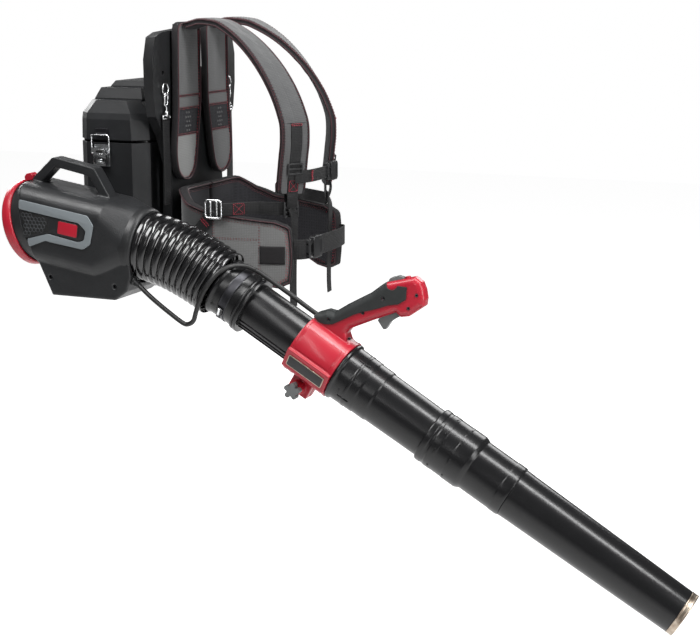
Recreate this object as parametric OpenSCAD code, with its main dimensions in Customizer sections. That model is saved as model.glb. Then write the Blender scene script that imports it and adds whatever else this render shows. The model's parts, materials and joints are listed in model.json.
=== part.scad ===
// Battery backpack leaf blower, in millimetres.
// Origin: centre of the base's resting face. +Z is up. The wearer faces -Y, with their right hand at -X.

/* [Air path] */
// Distance of the air path from the centre plane, on the wearer's right
air_offset = 235; // [233:1:237]
// Downward pitch of the fan housing, degrees
fan_pitch = 9; // [8:0.5:10]
// Downward pitch of the rear half of the bellows, degrees
bellows_rear_pitch = 17.2; // [16:0.2:18]
// Downward pitch of the front half of the bellows, degrees
bellows_front_pitch = 25.4; // [24.6:0.2:26.2]
// Downward pitch of the blower tube, degrees
tube_pitch = 30.2; // [29.4:0.2:31]
// Radius of the bore through the fan housing
duct_bore_r = 66; // [65:0.5:67]
// Half width and half height of the fan housing
housing_half = 74.5; // [74:0.5:75]
// Rake of the intake face, whose top leans to the rear, degrees
intake_rake = 13; // [11:0.5:14]

/* [Fan] */
// Number of impeller blades
blade_count = 9; // [7:1:11]
// Number of stator vanes
vane_count = 7; // [5:1:9]
// Radius of the fan hub and motor can
hub_r = 27; // [25:0.5:28]
// Radius of the motor shaft
shaft_r = 4; // [3.5:0.5:4.5]

/* [Bellows] */
// Outside radius of the bellows ridges
ridge_r = 65.5; // [64:0.5:66]
// Length of the rear half of the bellows
bellows_rear_len = 82; // [80:1:84]
// Length of the front half of the bellows
bellows_front_len = 92.7; // [90:0.1:94]

/* [Blower tube] */
// Outside radius of the control tube
tube_r = 46; // [45.5:0.5:46]
// Length of the cuff behind its front flange
cuff_len = 72; // [70:1:74]
// Start of the front tube's collar, measured along the tube from the cuff flange
collar_start = 207; // [207:1:209]
// Start of the extension tube's collar
extension_start = 403; // [401:1:405]
// Seam between the extension tube and the nozzle
nozzle_start = 581; // [579:1:583]
// Tip of the nozzle
nozzle_end = 939; // [930:1:945]
// Outside radius of the metal ring at the tip
tip_ring_r = 41.8; // [41.5:0.1:42]

/* [Battery box] */
// Half width of the battery box
box_half = 159.5; // [158:0.5:159.5]
// Front face of the battery box
box_front = 20; // [19:1:21]
// Rear face of the battery box
box_rear = 172; // [171:1:174]
// Height of the parting line below the lid
box_top = 278; // [276:1:279]
// Height of the battery packs
battery_height = 222; // [210:1:226]

/* [Harness] */
// Width of a shoulder strap
strap_width = 60; // [56:1:62]
// Thickness of a shoulder strap
strap_thick = 15; // [13:1:16]
// Width of the webbing
web_width = 25; // [22:1:26]
// Width of the waist webbing
waist_web_width = 38; // [34:1:40]
// Twist of a shoulder strap at its lower end, degrees
strap_twist = 33; // [28:1:38]
// Thickness of the hip belt
belt_thick = 14; // [12:1:14]

/* [Hidden] */
$fn = 96;

// Working gaps
gap = 0.3;
run_gap = 0.05;
over = 1;

// Centre of the duct at the neck, where the bellows starts
neck_y = -25;
neck_z = 97;
housing_len = 262;

// Centre of the raked intake face
intake_y = 194.6;
intake_z = 134;
mid_y = neck_y - bellows_rear_len * cos(bellows_rear_pitch);
mid_z = neck_z - bellows_rear_len * sin(bellows_rear_pitch);
cuff_y = mid_y - bellows_front_len * cos(bellows_front_pitch);
cuff_z = mid_z - bellows_front_len * sin(bellows_front_pitch);
flange_y = cuff_y - cuff_len * cos(tube_pitch);
flange_z = cuff_z - cuff_len * sin(tube_pitch);

// Lid hinge and latch pivots, as X and Z
hinge_x = box_half + 7;
hinge_z = box_top + 3;
hinge_r = 3;
lever_pivot = [-box_half - 8, 264];
bail_pivot = [-box_half - 8, 256];

// Handle points in the tube's side plane, as distance along the tube and height above its axis
knob_point = [155, -70];
trigger_pivot = [243, 157];
cruise_pivot = [207, 197];
boost_point = [226, 216];
grip_angle = 41.7;
handle_half = 15;
screw_points = [[140, 72], [188, 120], [207, 165], [256, 205], [255, 176], [190, 64]];
rail_angles = [205, 217, 229];

// ---- Placement helpers ----

// Puts the children's +Z along the air path at a point, with +Y up and +X along the row's X
module on_air_path(y, z, pitch) {
    translate([-air_offset, y, z]) rotate([90 + pitch, 0, 0]) children();
}

module fan_frame() {
    on_air_path(neck_y, neck_z, fan_pitch) children();
}

// At the raked intake face, with -Z pointing rearwards out of the intake
module intake_frame() {
    on_air_path(intake_y, intake_z, -intake_rake) children();
}

module tube_frame() {
    on_air_path(flange_y, flange_z, tube_pitch) children();
}

// Extrudes an outline drawn in Y and Z from x0 to x1
module slab_x(x0, x1) {
    translate([x0, 0, 0]) rotate([90, 0, 90]) linear_extrude(x1 - x0) children();
}

// Extrudes an outline drawn in X and Z from y0 to y1
module slab_y(y0, y1) {
    translate([0, y1, 0]) rotate([90, 0, 0]) linear_extrude(y1 - y0) children();
}

// Extrudes a handle outline, drawn along the tube and up from it, from x0 to x1
module side_slab(x0, x1) {
    translate([x1, 0, 0]) rotate([0, -90, 0]) linear_extrude(x1 - x0) children();
}

// A cylinder across the handle, centred at a side-plane point
module cross_pin(point, r, x0, x1) {
    side_slab(x0, x1) translate(point) circle(r = r);
}

module ring(r_out, r_in, z0, z1) {
    translate([0, 0, z0]) linear_extrude(z1 - z0) difference() {
        circle(r = r_out);
        circle(r = r_in);
    }
}

module turned(outline) {
    rotate_extrude() polygon(outline);
}

// A rounded rectangle centred on the origin
module rounded_rect(w, h, r) {
    square([w - 2 * r, h], center = true);
    square([w, h - 2 * r], center = true);
    for (sx = [-1, 1], sy = [-1, 1]) {
        translate([sx * (w / 2 - r), sy * (h / 2 - r)]) circle(r = r, $fn = 32);
    }
}

// Both sides of the wearer
module both_sides() {
    children();
    mirror([1, 0, 0]) children();
}

// ---- Curves ----

function unit(v) = v / norm(v);
function slope(p, i) = unit(p[min(i + 1, len(p) - 1)] - p[max(i - 1, 0)]);
function side_line(p, d) = [for (i = [0 : len(p) - 1]) p[i] + d * [-slope(p, i)[1], slope(p, i)[0]]];
function backwards(p) = [for (i = [len(p) - 1 : -1 : 0]) p[i]];

// A flat band of even thickness along a list of points
module band(p, thick) {
    polygon(concat(side_line(p, thick / 2), backwards(side_line(p, -thick / 2))));
}

// A round cord through a list of points
module cord(p, r) {
    for (i = [0 : len(p) - 2]) {
        hull() {
            translate(p[i]) sphere(r = r, $fn = 8);
            translate(p[i + 1]) sphere(r = r, $fn = 8);
        }
    }
}

// ---- Back frame and tray ----

frame_outline = [[-110, 41], [-104, 235], [-128, 290], [-160, 330], [-168, 380], [-169, 438],
    [-157, 479], [-130, 488], [-56, 493], [56, 493], [130, 488], [157, 479], [169, 438], [168, 380],
    [160, 330], [128, 290], [104, 235], [110, 41]];

module back_frame() {
    color("#26282a") difference() {
        slab_y(-10, 10) polygon(frame_outline);
        slab_y(-10 - over, 10 + over) polygon([[-91, 446], [-74, 416], [74, 416], [91, 446],
            [80, 462], [56, 468], [-56, 468], [-80, 462]]);
        slab_y(-4, 10 + over) for (sx = [-1, 1]) {
            translate([sx * 50, 365]) rounded_rect(86, 66, 8);
            translate([sx * 50, 280]) rounded_rect(86, 76, 8);
            translate([sx * 50, 155]) rounded_rect(86, 140, 8);
        }
        for (sx = [-1, 1]) {
            translate([sx * 130, 0, 412]) rotate([90, 0, 0]) cylinder(r = 4, h = 40, center = true);
            translate([sx * 60, 0, 60]) rotate([90, 0, 0]) cylinder(r = 2.3, h = 40, center = true);
        }
    }
}

module base_tray() {
    color("#202224") difference() {
        union() {
            translate([0, 83, 6]) linear_extrude(34) rounded_rect(328, 190, 18);
            for (sx = [-1, 1], y = [15, 150]) {
                translate([sx * 125, y, 0]) cylinder(r = 14, h = 8);
            }
            translate([0, 83, 0]) linear_extrude(7) rounded_rect(200, 184, 12);
        }
        translate([0, 92, 12]) linear_extrude(40) rounded_rect(300, 150, 10);
    }
}

// ---- Battery box, lid and latch ----

// Box section between two heights, with its four upright corners bevelled
module box_solid(half, front, rear, z0, z1, bevel) {
    translate([0, 0, z0]) linear_extrude(z1 - z0) polygon([[-half + bevel, front], [half - bevel, front],
        [half, front + bevel], [half, rear - bevel], [half - bevel, rear], [-half + bevel, rear],
        [-half, rear - bevel], [-half, front + bevel]]);
}

module hinge_knuckle(y0, y1) {
    translate([hinge_x, y1, hinge_z]) rotate([90, 0, 0]) cylinder(r = 6, h = y1 - y0);
}

module hinge_bore(r) {
    translate([hinge_x, box_rear, hinge_z]) rotate([90, 0, 0]) cylinder(r = r, h = box_rear - box_front);
}

module battery_box() {
    color("#2a2c2e") difference() {
        union() {
            box_solid(box_half, box_front, box_rear, 41, box_top, 26);
            for (y0 = [56, 116]) {
                hinge_knuckle(y0, y0 + 20);
                translate([box_half - 2, y0, hinge_z - 22]) cube([4, 20, 22]);
            }
        }
        box_solid(box_half - 4, box_front + 4, box_rear - 4, 47, box_top + over, 25);
        hinge_bore(hinge_r);
    }
}

module terminal_block() {
    color("#303030") for (sx = [-1, 1]) {
        translate([sx * 66 - 30, 66, 47.1]) cube([60, 60, 7]);
    }
}

module lid_hinge_pin() {
    color("silver") translate([hinge_x, 138, hinge_z]) rotate([90, 0, 0]) {
        cylinder(r = hinge_r, h = 84, $fn = 48);
        translate([0, 0, -3]) cylinder(r = 5, h = 3);
    }
}

// Lid shell in three steps, each smaller than the one below
module lid_solid() {
    z0 = box_top + 5;
    hull() {
        box_solid(box_half, box_front, box_rear, z0, z0 + 1, 26);
        box_solid(box_half - 2, box_front + 4, box_rear, z0 + 50, z0 + 51, 26);
        box_solid(box_half - 8, box_front + 26, box_rear - 20, 357, 358, 20);
    }
    hull() {
        translate([-118, 44, 350]) cube([236, 106, 10]);
        translate([-108, 52, 370]) cube([216, 90, 10]);
    }
    hull() {
        translate([-84, 58, 374]) cube([168, 76, 8]);
        translate([-76, 64, 391]) cube([152, 64, 1]);
    }
}

module box_lid() {
    color("#242628") difference() {
        union() {
            lid_solid();
            hinge_knuckle(76.5, 115.5);
            translate([box_half - 3, 76.5, hinge_z + 1]) cube([8, 39, 16]);
        }
        hull() {
            box_solid(box_half - 6, box_front + 6, box_rear - 6, box_top, box_top + 55, 25);
            box_solid(box_half - 14, box_front + 28, box_rear - 26, 353, 354, 20);
        }
        translate([-104, 56, 350]) cube([208, 82, 26]);
        hinge_bore(hinge_r + run_gap);
    }
}

module lid_gasket() {
    color("#111111") translate([0, (box_front + box_rear) / 2, box_top + 0.6]) {
        linear_extrude(4) difference() {
            rounded_rect(278, 144, 8);
            rounded_rect(270, 138, 6);
        }
    }
}

// Ledge on the lid that the wire bail closes against
module lid_keeper() {
    color("#9a9da0") union() {
        translate([-box_half - 2.2, 97, 285]) cube([2, 28, 20]);
        translate([-box_half - 5.5, 99, 291]) cube([4, 24, 5]);
    }
}

module latch_bracket() {
    color("#8d9093") difference() {
        union() {
            translate([-box_half - 2.2, 94, 232]) cube([2, 34, 42]);
            for (y = [93.5, 126]) {
                translate([-box_half - 11.5, y, 260]) cube([10, 2.5, 8]);
            }
        }
        translate([lever_pivot[0], 140, lever_pivot[1]]) rotate([90, 0, 0]) cylinder(r = 2.05, h = 60);
    }
}

module latch_lever() {
    color("#a9acaf") difference() {
        union() {
            translate([lever_pivot[0], 128.6, lever_pivot[1]]) rotate([90, 0, 0]) cylinder(r = 2, h = 35.2);
            translate([lever_pivot[0] - 4.5, 97, 234]) cube([3, 28, 34]);
            for (y = [97, 123]) {
                translate([lever_pivot[0] - 4.5, y, 250]) cube([8, 2, 18]);
            }
        }
        translate([bail_pivot[0], 130, bail_pivot[1]]) rotate([90, 0, 0]) cylinder(r = 1.55, h = 40);
    }
}

// Wire loop: a cross-wire through the lever, two legs, and the top wire in front of the keeper
module latch_bail() {
    color("#c4c7c9") {
        translate([bail_pivot[0], 130.4, bail_pivot[1]]) rotate([90, 0, 0]) cylinder(r = 1.5, h = 38.8);
        for (y = [91.6, 130.4]) {
            translate([bail_pivot[0], y, bail_pivot[1]]) cylinder(r = 1.5, h = 37);
            translate([bail_pivot[0], y, bail_pivot[1]]) sphere(r = 1.5);
        }
        translate([bail_pivot[0], 131.9, bail_pivot[1] + 37]) rotate([90, 0, 0]) cylinder(r = 1.5, h = 41.8);
    }
}

// Battery pack with a carrying loop on top
module battery(x) {
    color("#333538") difference() {
        union() {
            translate([x, 96, 55]) linear_extrude(battery_height - 24) rounded_rect(122, 118, 10);
            translate([x - 34, 84, 55]) cube([68, 24, battery_height]);
        }
        translate([x - 24, 80, 50 + battery_height - 18]) cube([48, 32, 13]);
    }
}

module battery_right() {
    battery(-66);
}

module battery_left() {
    battery(66);
}

// ---- Fan housing ----

module housing_base_outline() {
    polygon([[145, 0], [7, 0], [-18, 18], [-27, 45], [-20, 110], [190, 120], [188, 92], [167, 47]]);
}

// Handle over the housing: round bars through four corner points in Y and Z
module housing_handle() {
    corners = [[212, 203], [163, 247], [81, 231], [50, 180]];
    for (i = [0 : 2]) {
        hull() for (p = [corners[i], corners[i + 1]]) {
            translate([-air_offset - 15, p[0], p[1]]) rotate([0, 90, 0]) cylinder(r = 9, h = 30, $fn = 32);
        }
    }
}

// Rounded square section at the rear that closes to a round neck, shrunk by an inset
module housing_cover(inset) {
    corner_r = 36 - inset;
    hull() {
        for (sx = [-1, 1], sy = [-1, 1]) {
            translate([sx, sy, 0] * (housing_half - inset - corner_r)) translate([0, 0, -housing_len + inset])
                cylinder(r = corner_r, h = housing_len - 66 - inset, $fn = 32);
        }
        translate([0, 0, -16 - inset]) cylinder(r = 71 - inset, h = 4, $fn = 64);
    }
}

module housing_body() {
    difference() {
        union() {
            fan_frame() {
                housing_cover(0);
                translate([0, 0, -20]) cylinder(r = 70, h = 19);
            }
            slab_x(-air_offset - 64, -air_offset + 70) housing_base_outline();
            housing_handle();
        }
        fan_frame() housing_cover(3);
    }
    fan_frame() translate([0, 0, -housing_len]) cylinder(r = duct_bore_r + 2.6, h = housing_len - 10);
}

// Screw places on the housing, as Y and Z
housing_screws = [[8, 26], [148, 34]];

module housing_half_shell(side) {
    difference() {
        housing_body();
        fan_frame() translate([0, 0, -housing_len - over]) cylinder(r = duct_bore_r, h = housing_len + 10);
        intake_frame() translate([-100, -150, -200]) cube([200, 300, 200]);
        on_air_path(neck_y, neck_z, bellows_rear_pitch) translate([0, 0, 2]) {
            cylinder(r = ridge_r + 2.5, h = 60);
        }
        translate([-air_offset - 60, 22, 4]) cube([126, 108, 30]);
        for (p = housing_screws) {
            translate([-air_offset - 80, p[0], p[1]]) rotate([0, 90, 0]) cylinder(r = 2.1, h = 130);
            translate([-air_offset - 80, p[0], p[1]]) rotate([0, 90, 0]) cylinder(r = 4.2, h = 26);
        }
        translate([side > 0 ? -air_offset - 200 : -air_offset, -100, -50]) {
            translate([side > 0 ? run_gap : -run_gap, 0, 0]) cube([200, 500, 500]);
        }
    }
}

module housing_right() {
    color("#2b2d2f") housing_half_shell(-1);
}

module housing_left() {
    color("#2b2d2f") housing_half_shell(1);
}

module shell_screws() {
    color("#77797b") {
        for (p = housing_screws) {
            translate([-air_offset - 58, p[0], p[1]]) rotate([0, 90, 0]) cylinder(r = 3.8, h = 3.8);
            translate([-air_offset - 58, p[0], p[1]]) rotate([0, 90, 0]) cylinder(r = 2.05, h = 90);
        }
        for (sx = [-1, 1]) {
            translate([sx * 60, -10.2, 60]) rotate([90, 0, 0]) cylinder(r = 4, h = 2);
            translate([sx * 60, 8, 60]) rotate([90, 0, 0]) cylinder(r = 2.2, h = 18.5);
        }
    }
}

module controller_board() {
    color("#1f5a3a") translate([-air_offset - 50, 30, 10]) {
        cube([104, 92, 2]);
        translate([20, 20, 1.5]) cube([60, 40, 14]);
    }
}

// Motor can, tail cone and vanes, held by an outer ring in the duct
module stator() {
    color("#55585b") fan_frame() difference() {
        union() {
            ring(duct_bore_r - 0.1, duct_bore_r - 3, -142, -84);
            turned([[0, -144], [hub_r, -144], [hub_r, -70], [20, -38], [8, -22], [0, -20]]);
            for (i = [0 : vane_count - 1]) {
                rotate([0, 0, i * 360 / vane_count]) translate([hub_r - 2, -1.2, -138])
                    cube([duct_bore_r - hub_r, 2.4, 50]);
            }
        }
        translate([0, 0, -150]) cylinder(r = 22, h = 66);
    }
}

module shaft_bearings() {
    color("silver") fan_frame() for (z = [-143, -92]) {
        ring(21.9, shaft_r + run_gap, z, z + 7);
    }
}

module rotor_shaft() {
    color("#8a6a3a") fan_frame() {
        translate([0, 0, -178]) cylinder(r = shaft_r, h = 93.5, $fn = 64);
        ring(18, shaft_r - 0.5, -132, -96);
    }
}

module impeller() {
    color("#d8d8d0") fan_frame() difference() {
        union() {
            turned([[0, -206], [12, -203], [22, -194], [hub_r, -182], [hub_r, -148], [0, -148]]);
            intersection() {
                for (i = [0 : blade_count - 1]) {
                    rotate([0, 0, i * 360 / blade_count]) translate([hub_r - 3, 0, -166])
                        rotate([38, 0, 0]) translate([0, -1.3, -20]) cube([60, 2.6, 40]);
                }
                translate([0, 0, -190]) cylinder(r = duct_bore_r - 1.5, h = 50);
            }
        }
        translate([0, 0, -178]) cylinder(r = shaft_r, h = 40, $fn = 64);
        translate([0, 0, -158]) cylinder(r = 20, h = 11);
    }
}

// Intake guard: cage wall, radial bars and hoops behind the housing
module intake_cage() {
    cage_r = 78;
    color("#1c1d1f") intake_frame() {
        ring(cage_r, cage_r - 4, -34, -9);
        ring(cage_r, duct_bore_r + 2, -9.5, -5);
        ring(housing_half - 0.5, duct_bore_r + 2, -5.5, -gap);
        for (r = [20, 38, 56]) {
            ring(r + 1.5, r - 1.5, -52, -48);
        }
        for (i = [0 : 11]) {
            rotate([90, 0, i * 30]) linear_extrude(2.4, center = true)
                polygon([[19, -48], [19, -52], [60, -52], [cage_r - 0.5, -36], [cage_r - 0.5, -30],
                    [cage_r - 3.5, -30], [cage_r - 3.5, -35], [58, -48]]);
        }
    }
}

module intake_rim() {
    color("#c8142d") intake_frame() {
        turned([[78.2, -24], [82, -26], [83, -32], [82, -42], [76, -48], [74, -45], [78, -39],
            [78.2, -34.3]]);
    }
}

module guard_tab() {
    color("#c8142d") intake_frame() side_slab(-9, 9)
        polygon([[-22, 78.6], [-22, 88], [-16, 93], [-6, 93], [-2, 88], [-2, 78.6]]);
}

// Side trim: a wide U open to the rear, in Y and Z
module trim_panel() {
    color("#7f8688") slab_x(-air_offset - housing_half - 2.6, -air_offset - housing_half - 0.1) difference() {
        polygon([[203, 181], [54, 158], [42, 140], [50, 104], [66, 94], [140, 104], [147, 106], [184, 92]]);
        polygon([[204, 163], [73, 143], [58, 129], [63, 111], [76, 107], [142, 119], [188, 107], [204, 100]]);
    }
}

module housing_badge() {
    color("#c8142d") slab_x(-air_offset - housing_half - 2.4, -air_offset - housing_half - 0.1)
        translate([98, 130]) rotate(8) rounded_rect(46, 28, 4);
}

// ---- Bellows and cuff ----

function ridge_points(count, pitch) = [for (i = [0 : count - 1], k = [0 : 3])
    [k == 0 || k == 3 ? ridge_r - 7 : ridge_r, (i + [0.06, 0.34, 0.66, 0.94][k]) * pitch]];

module corrugated(length, count) {
    turned(concat([[56, 0]], ridge_points(count, length / count), [[56, length]]));
}

module bellows_rear() {
    color("#1a1b1c") on_air_path(neck_y, neck_z, bellows_rear_pitch)
        translate([0, 0, 6]) corrugated(bellows_rear_len - 9, 5);
}

module swivel_ring() {
    color("#1a1b1c") on_air_path(mid_y, mid_z, (bellows_rear_pitch + bellows_front_pitch) / 2)
        ring(ridge_r, 56, 2, 8);
}

module bellows_front() {
    color("#1a1b1c") on_air_path(mid_y, mid_z, bellows_front_pitch)
        translate([0, 0, 13]) corrugated(bellows_front_len - 18, 5);
}

module cuff() {
    color("#1e1f21") tube_frame() turned([[tube_r + run_gap, -62], [43, -62], [43, -cuff_len],
        [56, -cuff_len], [56, -66], [53, -62], [53, -15], [56.5, -14], [56.5, -9], [54, -8.5],
        [54, -6.5], [56.5, -6], [56.5, 0], [tube_r + run_gap, 0]]);
}

module cuff_clamp() {
    color("#232426") tube_frame() {
        ring(54.6, 53.1, -46, -30);
        rotate([0, 0, 215]) translate([53.6, -8, -45]) cube([6, 16, 14]);
    }
}

module control_tube() {
    color("#1e1f21") tube_frame() {
        ring(tube_r, tube_r - 2.2, -61.5, 255);
        for (a = rail_angles) {
            rotate([0, 0, a]) translate([tube_r - 1, -1.3, 1]) cube([3.2, 2.6, 199]);
        }
    }
}

// ---- Cable ----

// Cable points under the bellows in the row's frame, then around the cuff in the tube's frame
cable_lead = [[-283, -32, 33], [-288, -40, 27], [-292, -65, 10], [-292, -95, -9], [-291.5, -117.5, -24.3]];
cable_wrap = [[-60, -82, -96], [-60, -84, -84], [-60, -79, -74], [-62, -66, -70], [-66, -47, -72],
    [-69, -24, -74], [-66, 4, -76], [-54, 34, -74], [-36, 52, -66], [-14, 62, -52], [-4, 63, -30]];
cable_run = [[-1, 63, -22], [0, 63, 20], [0, 62, 60], [0, 61, 98]];

module cable_rear() {
    color("#141414") {
        cord(cable_lead, 3.6);
        translate([-283, -27.6, 36]) rotate([112, 0, 0]) cylinder(r1 = 6, r2 = 4.4, h = 10, $fn = 24);
    }
}

module cable_middle() {
    color("#141414") tube_frame() cord(cable_wrap, 3.6);
}

module cable_front() {
    color("#141414") tube_frame() cord(cable_run, 3.6);
}

// ---- Control handle ----

grip_outline = [[114, 44], [114, 66], [128, 82], [142, 87], [157, 115], [183, 158], [192, 180], [197, 192],
    [235, 229], [250, 228], [262, 219], [272, 207], [277, 195], [262, 162], [250, 152], [238, 154],
    [214, 123], [182, 80], [180, 68], [188, 58], [205, 53], [205, 44]];
cover_outline = [[112, 60], [112.4, 66.6], [127.2, 83.7], [141, 88.7], [155.4, 116], [181.4, 158.9],
    [190.4, 180.8], [194.6, 190], [206, 194], [234, 208], [244, 188], [236, 172], [222, 160], [205, 140],
    [188, 122], [176, 108], [166, 92], [150, 68], [138, 60], [126, 57]];

// Room for the trigger to swing in the underside of the grip
trigger_room = [[200, 104], [238, 130], [256, 150], [254, 166], [240, 170], [212, 150], [204, 138]];

// Slot that the cruise lever lies in
lever_slot = [[199.5, 203.5], [206, 213.5], [217.5, 217], [221, 213], [215.3, 200.8], [208.4, 194.6]];

module handle_solid() {
    translate([0, 0, 113]) linear_extrude(93) {
        circle(r = 57);
        rotate(198) translate([30, -21]) square([30, 42]);
    }
    translate([0, 0, 134]) linear_extrude(42) translate([-16, -84]) square([32, 50]);
    side_slab(-handle_half, handle_half) polygon(grip_outline);
    cross_pin(knob_point, 12, -38, 0);
}

module handle_cuts() {
    translate([0, 0, 100]) cylinder(r = tube_r + gap, h = 120);
    for (a = rail_angles) {
        rotate([0, 0, a]) translate([tube_r - 2, -2, 100]) cube([5, 4, 120]);
    }
    translate([-1.5, -90, 100]) cube([3, 44, 120]);
    cross_pin(knob_point, 3.3, -60, 60);
    side_slab(-6, 6) polygon(trigger_room);
    cross_pin(cruise_pivot, 10.3, -6.5, 6.5);
    side_slab(-6.5, 6.5) polygon(lever_slot);
    side_slab(-9, 9) polygon([[146, 70], [156, 66], [200, 130], [206, 150], [200, 170], [186, 150]]);
    translate([0, boost_point[1], boost_point[0]]) rotate([-grip_angle, 0, 0]) translate([0, -14, 0])
        rotate([-90, 0, 0]) cylinder(r = 5.2, h = 30);
    translate([0, 61, 96]) cylinder(r = 4, h = 56);
    for (p = screw_points) {
        cross_pin(p, 1.6, -40, handle_half - 4);
        cross_pin(p, 3, -40, -handle_half + 4);
    }
}

module handle_half_shell(side) {
    difference() {
        handle_solid();
        handle_cuts();
        translate([side > 0 ? -200 + run_gap : -run_gap, -200, 0]) cube([200, 600, 400]);
    }
}

module handle_shell_right() {
    color("#c8142d") tube_frame() difference() {
        handle_half_shell(-1);
        side_slab(16, 40) translate(knob_point) circle(r = 6);
    }
}

module handle_shell_left() {
    color("#c8142d") tube_frame() {
        difference() {
            handle_half_shell(1);
            cross_pin(knob_point, 6.1, 10, 20);
        }
        cross_pin(trigger_pivot, 1.55, -5.9, 8);
    }
}

// Soft cover over the top and both cheeks of the grip
module grip_cover() {
    color("#2b302f") tube_frame() difference() {
        side_slab(-handle_half - 2, handle_half + 2) polygon(cover_outline);
        side_slab(-handle_half - run_gap, handle_half + run_gap) difference() {
            polygon(grip_outline);
            translate([90, 0]) square([23.95, 70]);
        }
        translate([0, 0, 100]) cylinder(r = 57.5, h = 120);
        translate([0, 61, 96]) cylinder(r = 4, h = 56);
        cross_pin(cruise_pivot, 11, -40, 40);
        for (p = screw_points) {
            cross_pin(p, 3.2, -40, 0);
        }
    }
}

module handle_badge() {
    color("#151617") tube_frame() rotate([0, 0, 198]) translate([60.1, -11, 122]) cube([1.4, 22, 76]);
}

module handle_screws() {
    color("#707274") tube_frame() for (p = screw_points) {
        cross_pin(p, 2.8, -handle_half + 1.2, -handle_half + 3.8);
        cross_pin(p, 1.5, -handle_half + 1.2, handle_half - 5);
    }
}

module clamp_nut() {
    color("silver") tube_frame() side_slab(10.4, 15) translate(knob_point) difference() {
        circle(r = 5.9, $fn = 6);
        circle(r = 3.05, $fn = 48);
    }
}

module trigger() {
    color("#85898b") tube_frame() difference() {
        union() {
            side_slab(-5, 5) polygon([[238, 162], [248, 161], [249, 154], [243, 144], [238, 134], [237, 116],
                [233, 113], [216, 121], [217, 131], [228, 148]]);
            cross_pin(trigger_pivot, 5, -5, 5);
        }
        cross_pin(trigger_pivot, 1.6, -10, 10);
    }
}

module trigger_spring() {
    color("silver") tube_frame() translate([0, 147.5, 213]) rotate([32.7, 0, 0])
        turned(concat([[2, 0]], [for (i = [0 : 4], k = [0 : 1]) [k == 0 ? 3.2 : 2.6, i * 2.2 + k]],
            [[2, 11]]));
}

module cruise_lever() {
    color("#8e9294") tube_frame() {
        cross_pin(cruise_pivot, 10, -6, 6);
        side_slab(-6, 6)
            polygon([[201, 204], [207, 212], [217, 215.5], [219.5, 212], [214, 202], [208, 196]]);
    }
}

module boost_button() {
    color("#c8142d") tube_frame() translate([0, boost_point[1], boost_point[0]]) rotate([-grip_angle, 0, 0])
        translate([0, -6, 0]) rotate([-90, 0, 0]) cylinder(r = 5, h = 12);
}

module star_knob() {
    color("#86898b") tube_frame() translate([0, knob_point[1], knob_point[0]]) rotate([0, 90, 0]) {
        translate([0, 0, -52]) linear_extrude(13) {
            circle(r = 10);
            for (i = [0 : 4]) {
                rotate(i * 72) translate([11, 0]) circle(r = 5, $fn = 48);
            }
        }
        translate([0, 0, -42]) cylinder(r = 3, h = 62, $fn = 48);
    }
}

// ---- Front tubes ----

module front_tube() {
    e = extension_start;
    color("#1c1d1f") tube_frame() {
        turned([[tube_r + gap, collar_start], [56.5, collar_start], [56.5, collar_start + 5],
            [52.6, collar_start + 8], [52, collar_start + 54], [50.8, collar_start + 56], [50.8, 289],
            [49, 291], [47.6, e - 3], [47.6, e + 42], [45.2, e + 42], [tube_r + gap, 291]]);
        for (i = [0 : 3]) {
            rotate([0, 0, i * 90 + 20]) translate([51.5, -8, collar_start + 20]) cube([2, 16, 3]);
            rotate([0, 0, i * 90 + 20]) translate([51.5, 6, collar_start + 20]) cube([2, 3, 26]);
        }
    }
}

module extension_tube() {
    e = extension_start;
    color("#1c1d1f") tube_frame() {
        turned([[47.8, e], [51.5, e], [53, e + 3], [53, e + 12], [52, e + 13], [52, e + 18], [53, e + 19],
            [53, e + 88], [50, e + 93], [48.3, e + 95], [48.3, nozzle_start], [46.2, nozzle_start],
            [46.2, e + 46], [47.8, e + 46]]);
        for (i = [0 : 7]) {
            rotate([0, 0, i * 45]) translate([52.5, -6, e + 28]) cube([1.8, 12, 3]);
            rotate([0, 0, i * 45]) translate([52.5, -6, e + 60]) cube([1.8, 12, 3]);
        }
    }
}

module nozzle() {
    s = nozzle_start;
    seat = nozzle_end - 12;
    color("#1b1c1d") tube_frame() turned([[43.6, s - 36], [45.9, s - 36], [45.9, s + gap], [47, s + gap],
        [tip_ring_r - 0.6, seat], [tip_ring_r - 1.2, seat], [tip_ring_r - 1.2, nozzle_end],
        [tip_ring_r - 3, nozzle_end], [44, s + 4]]);
}

module nozzle_ring() {
    color("#b9a58c") tube_frame() ring(tip_ring_r, tip_ring_r - 1.15, nozzle_end - 11.8, nozzle_end + 0.2);
}

// ---- Harness ----

// Shoulder strap path: [x, y, z, slope of the path, twist], from behind the shoulder to the lower end
function over_shoulder(t) = let (s = pow(sin(t), 1.25), c = pow(cos(t), 1.25))
    [57 + 28 * s, -80 - 186 * s, 300 + 208 * c, strap_twist * s];
strap_start = [for (y = [-32, -50, -66]) [57, y, 498 + 10 * sin((-y - 30) * 1.8), 0]];
strap_top = [for (t = [10 : 8 : 82]) over_shoulder(t)];
strap_low = [for (z = [285 : -24 : 189]) [85, -254 - 12 * (z - 189) / 111, z, strap_twist]];
strap_path = concat(strap_start, strap_top, strap_low);

function place(p) = [p[0], p[1], p[2]];
function heading(i) = place(strap_path[min(i + 1, len(strap_path) - 1)]) - place(strap_path[max(i - 1, 0)]);

module strap_slice(i) {
    p = strap_path[i];
    h = heading(i);
    translate(place(p)) rotate([0, 0, p[3]]) rotate([atan2(h[2], h[1]), 0, 0])
        cube([strap_width, 1, strap_thick], center = true);
}

module shoulder_strap() {
    for (i = [0 : len(strap_path) - 2]) {
        hull() {
            strap_slice(i);
            strap_slice(i + 1);
        }
    }
}

module shoulder_strap_left() {
    color("#6a6c6d") shoulder_strap();
}

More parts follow.
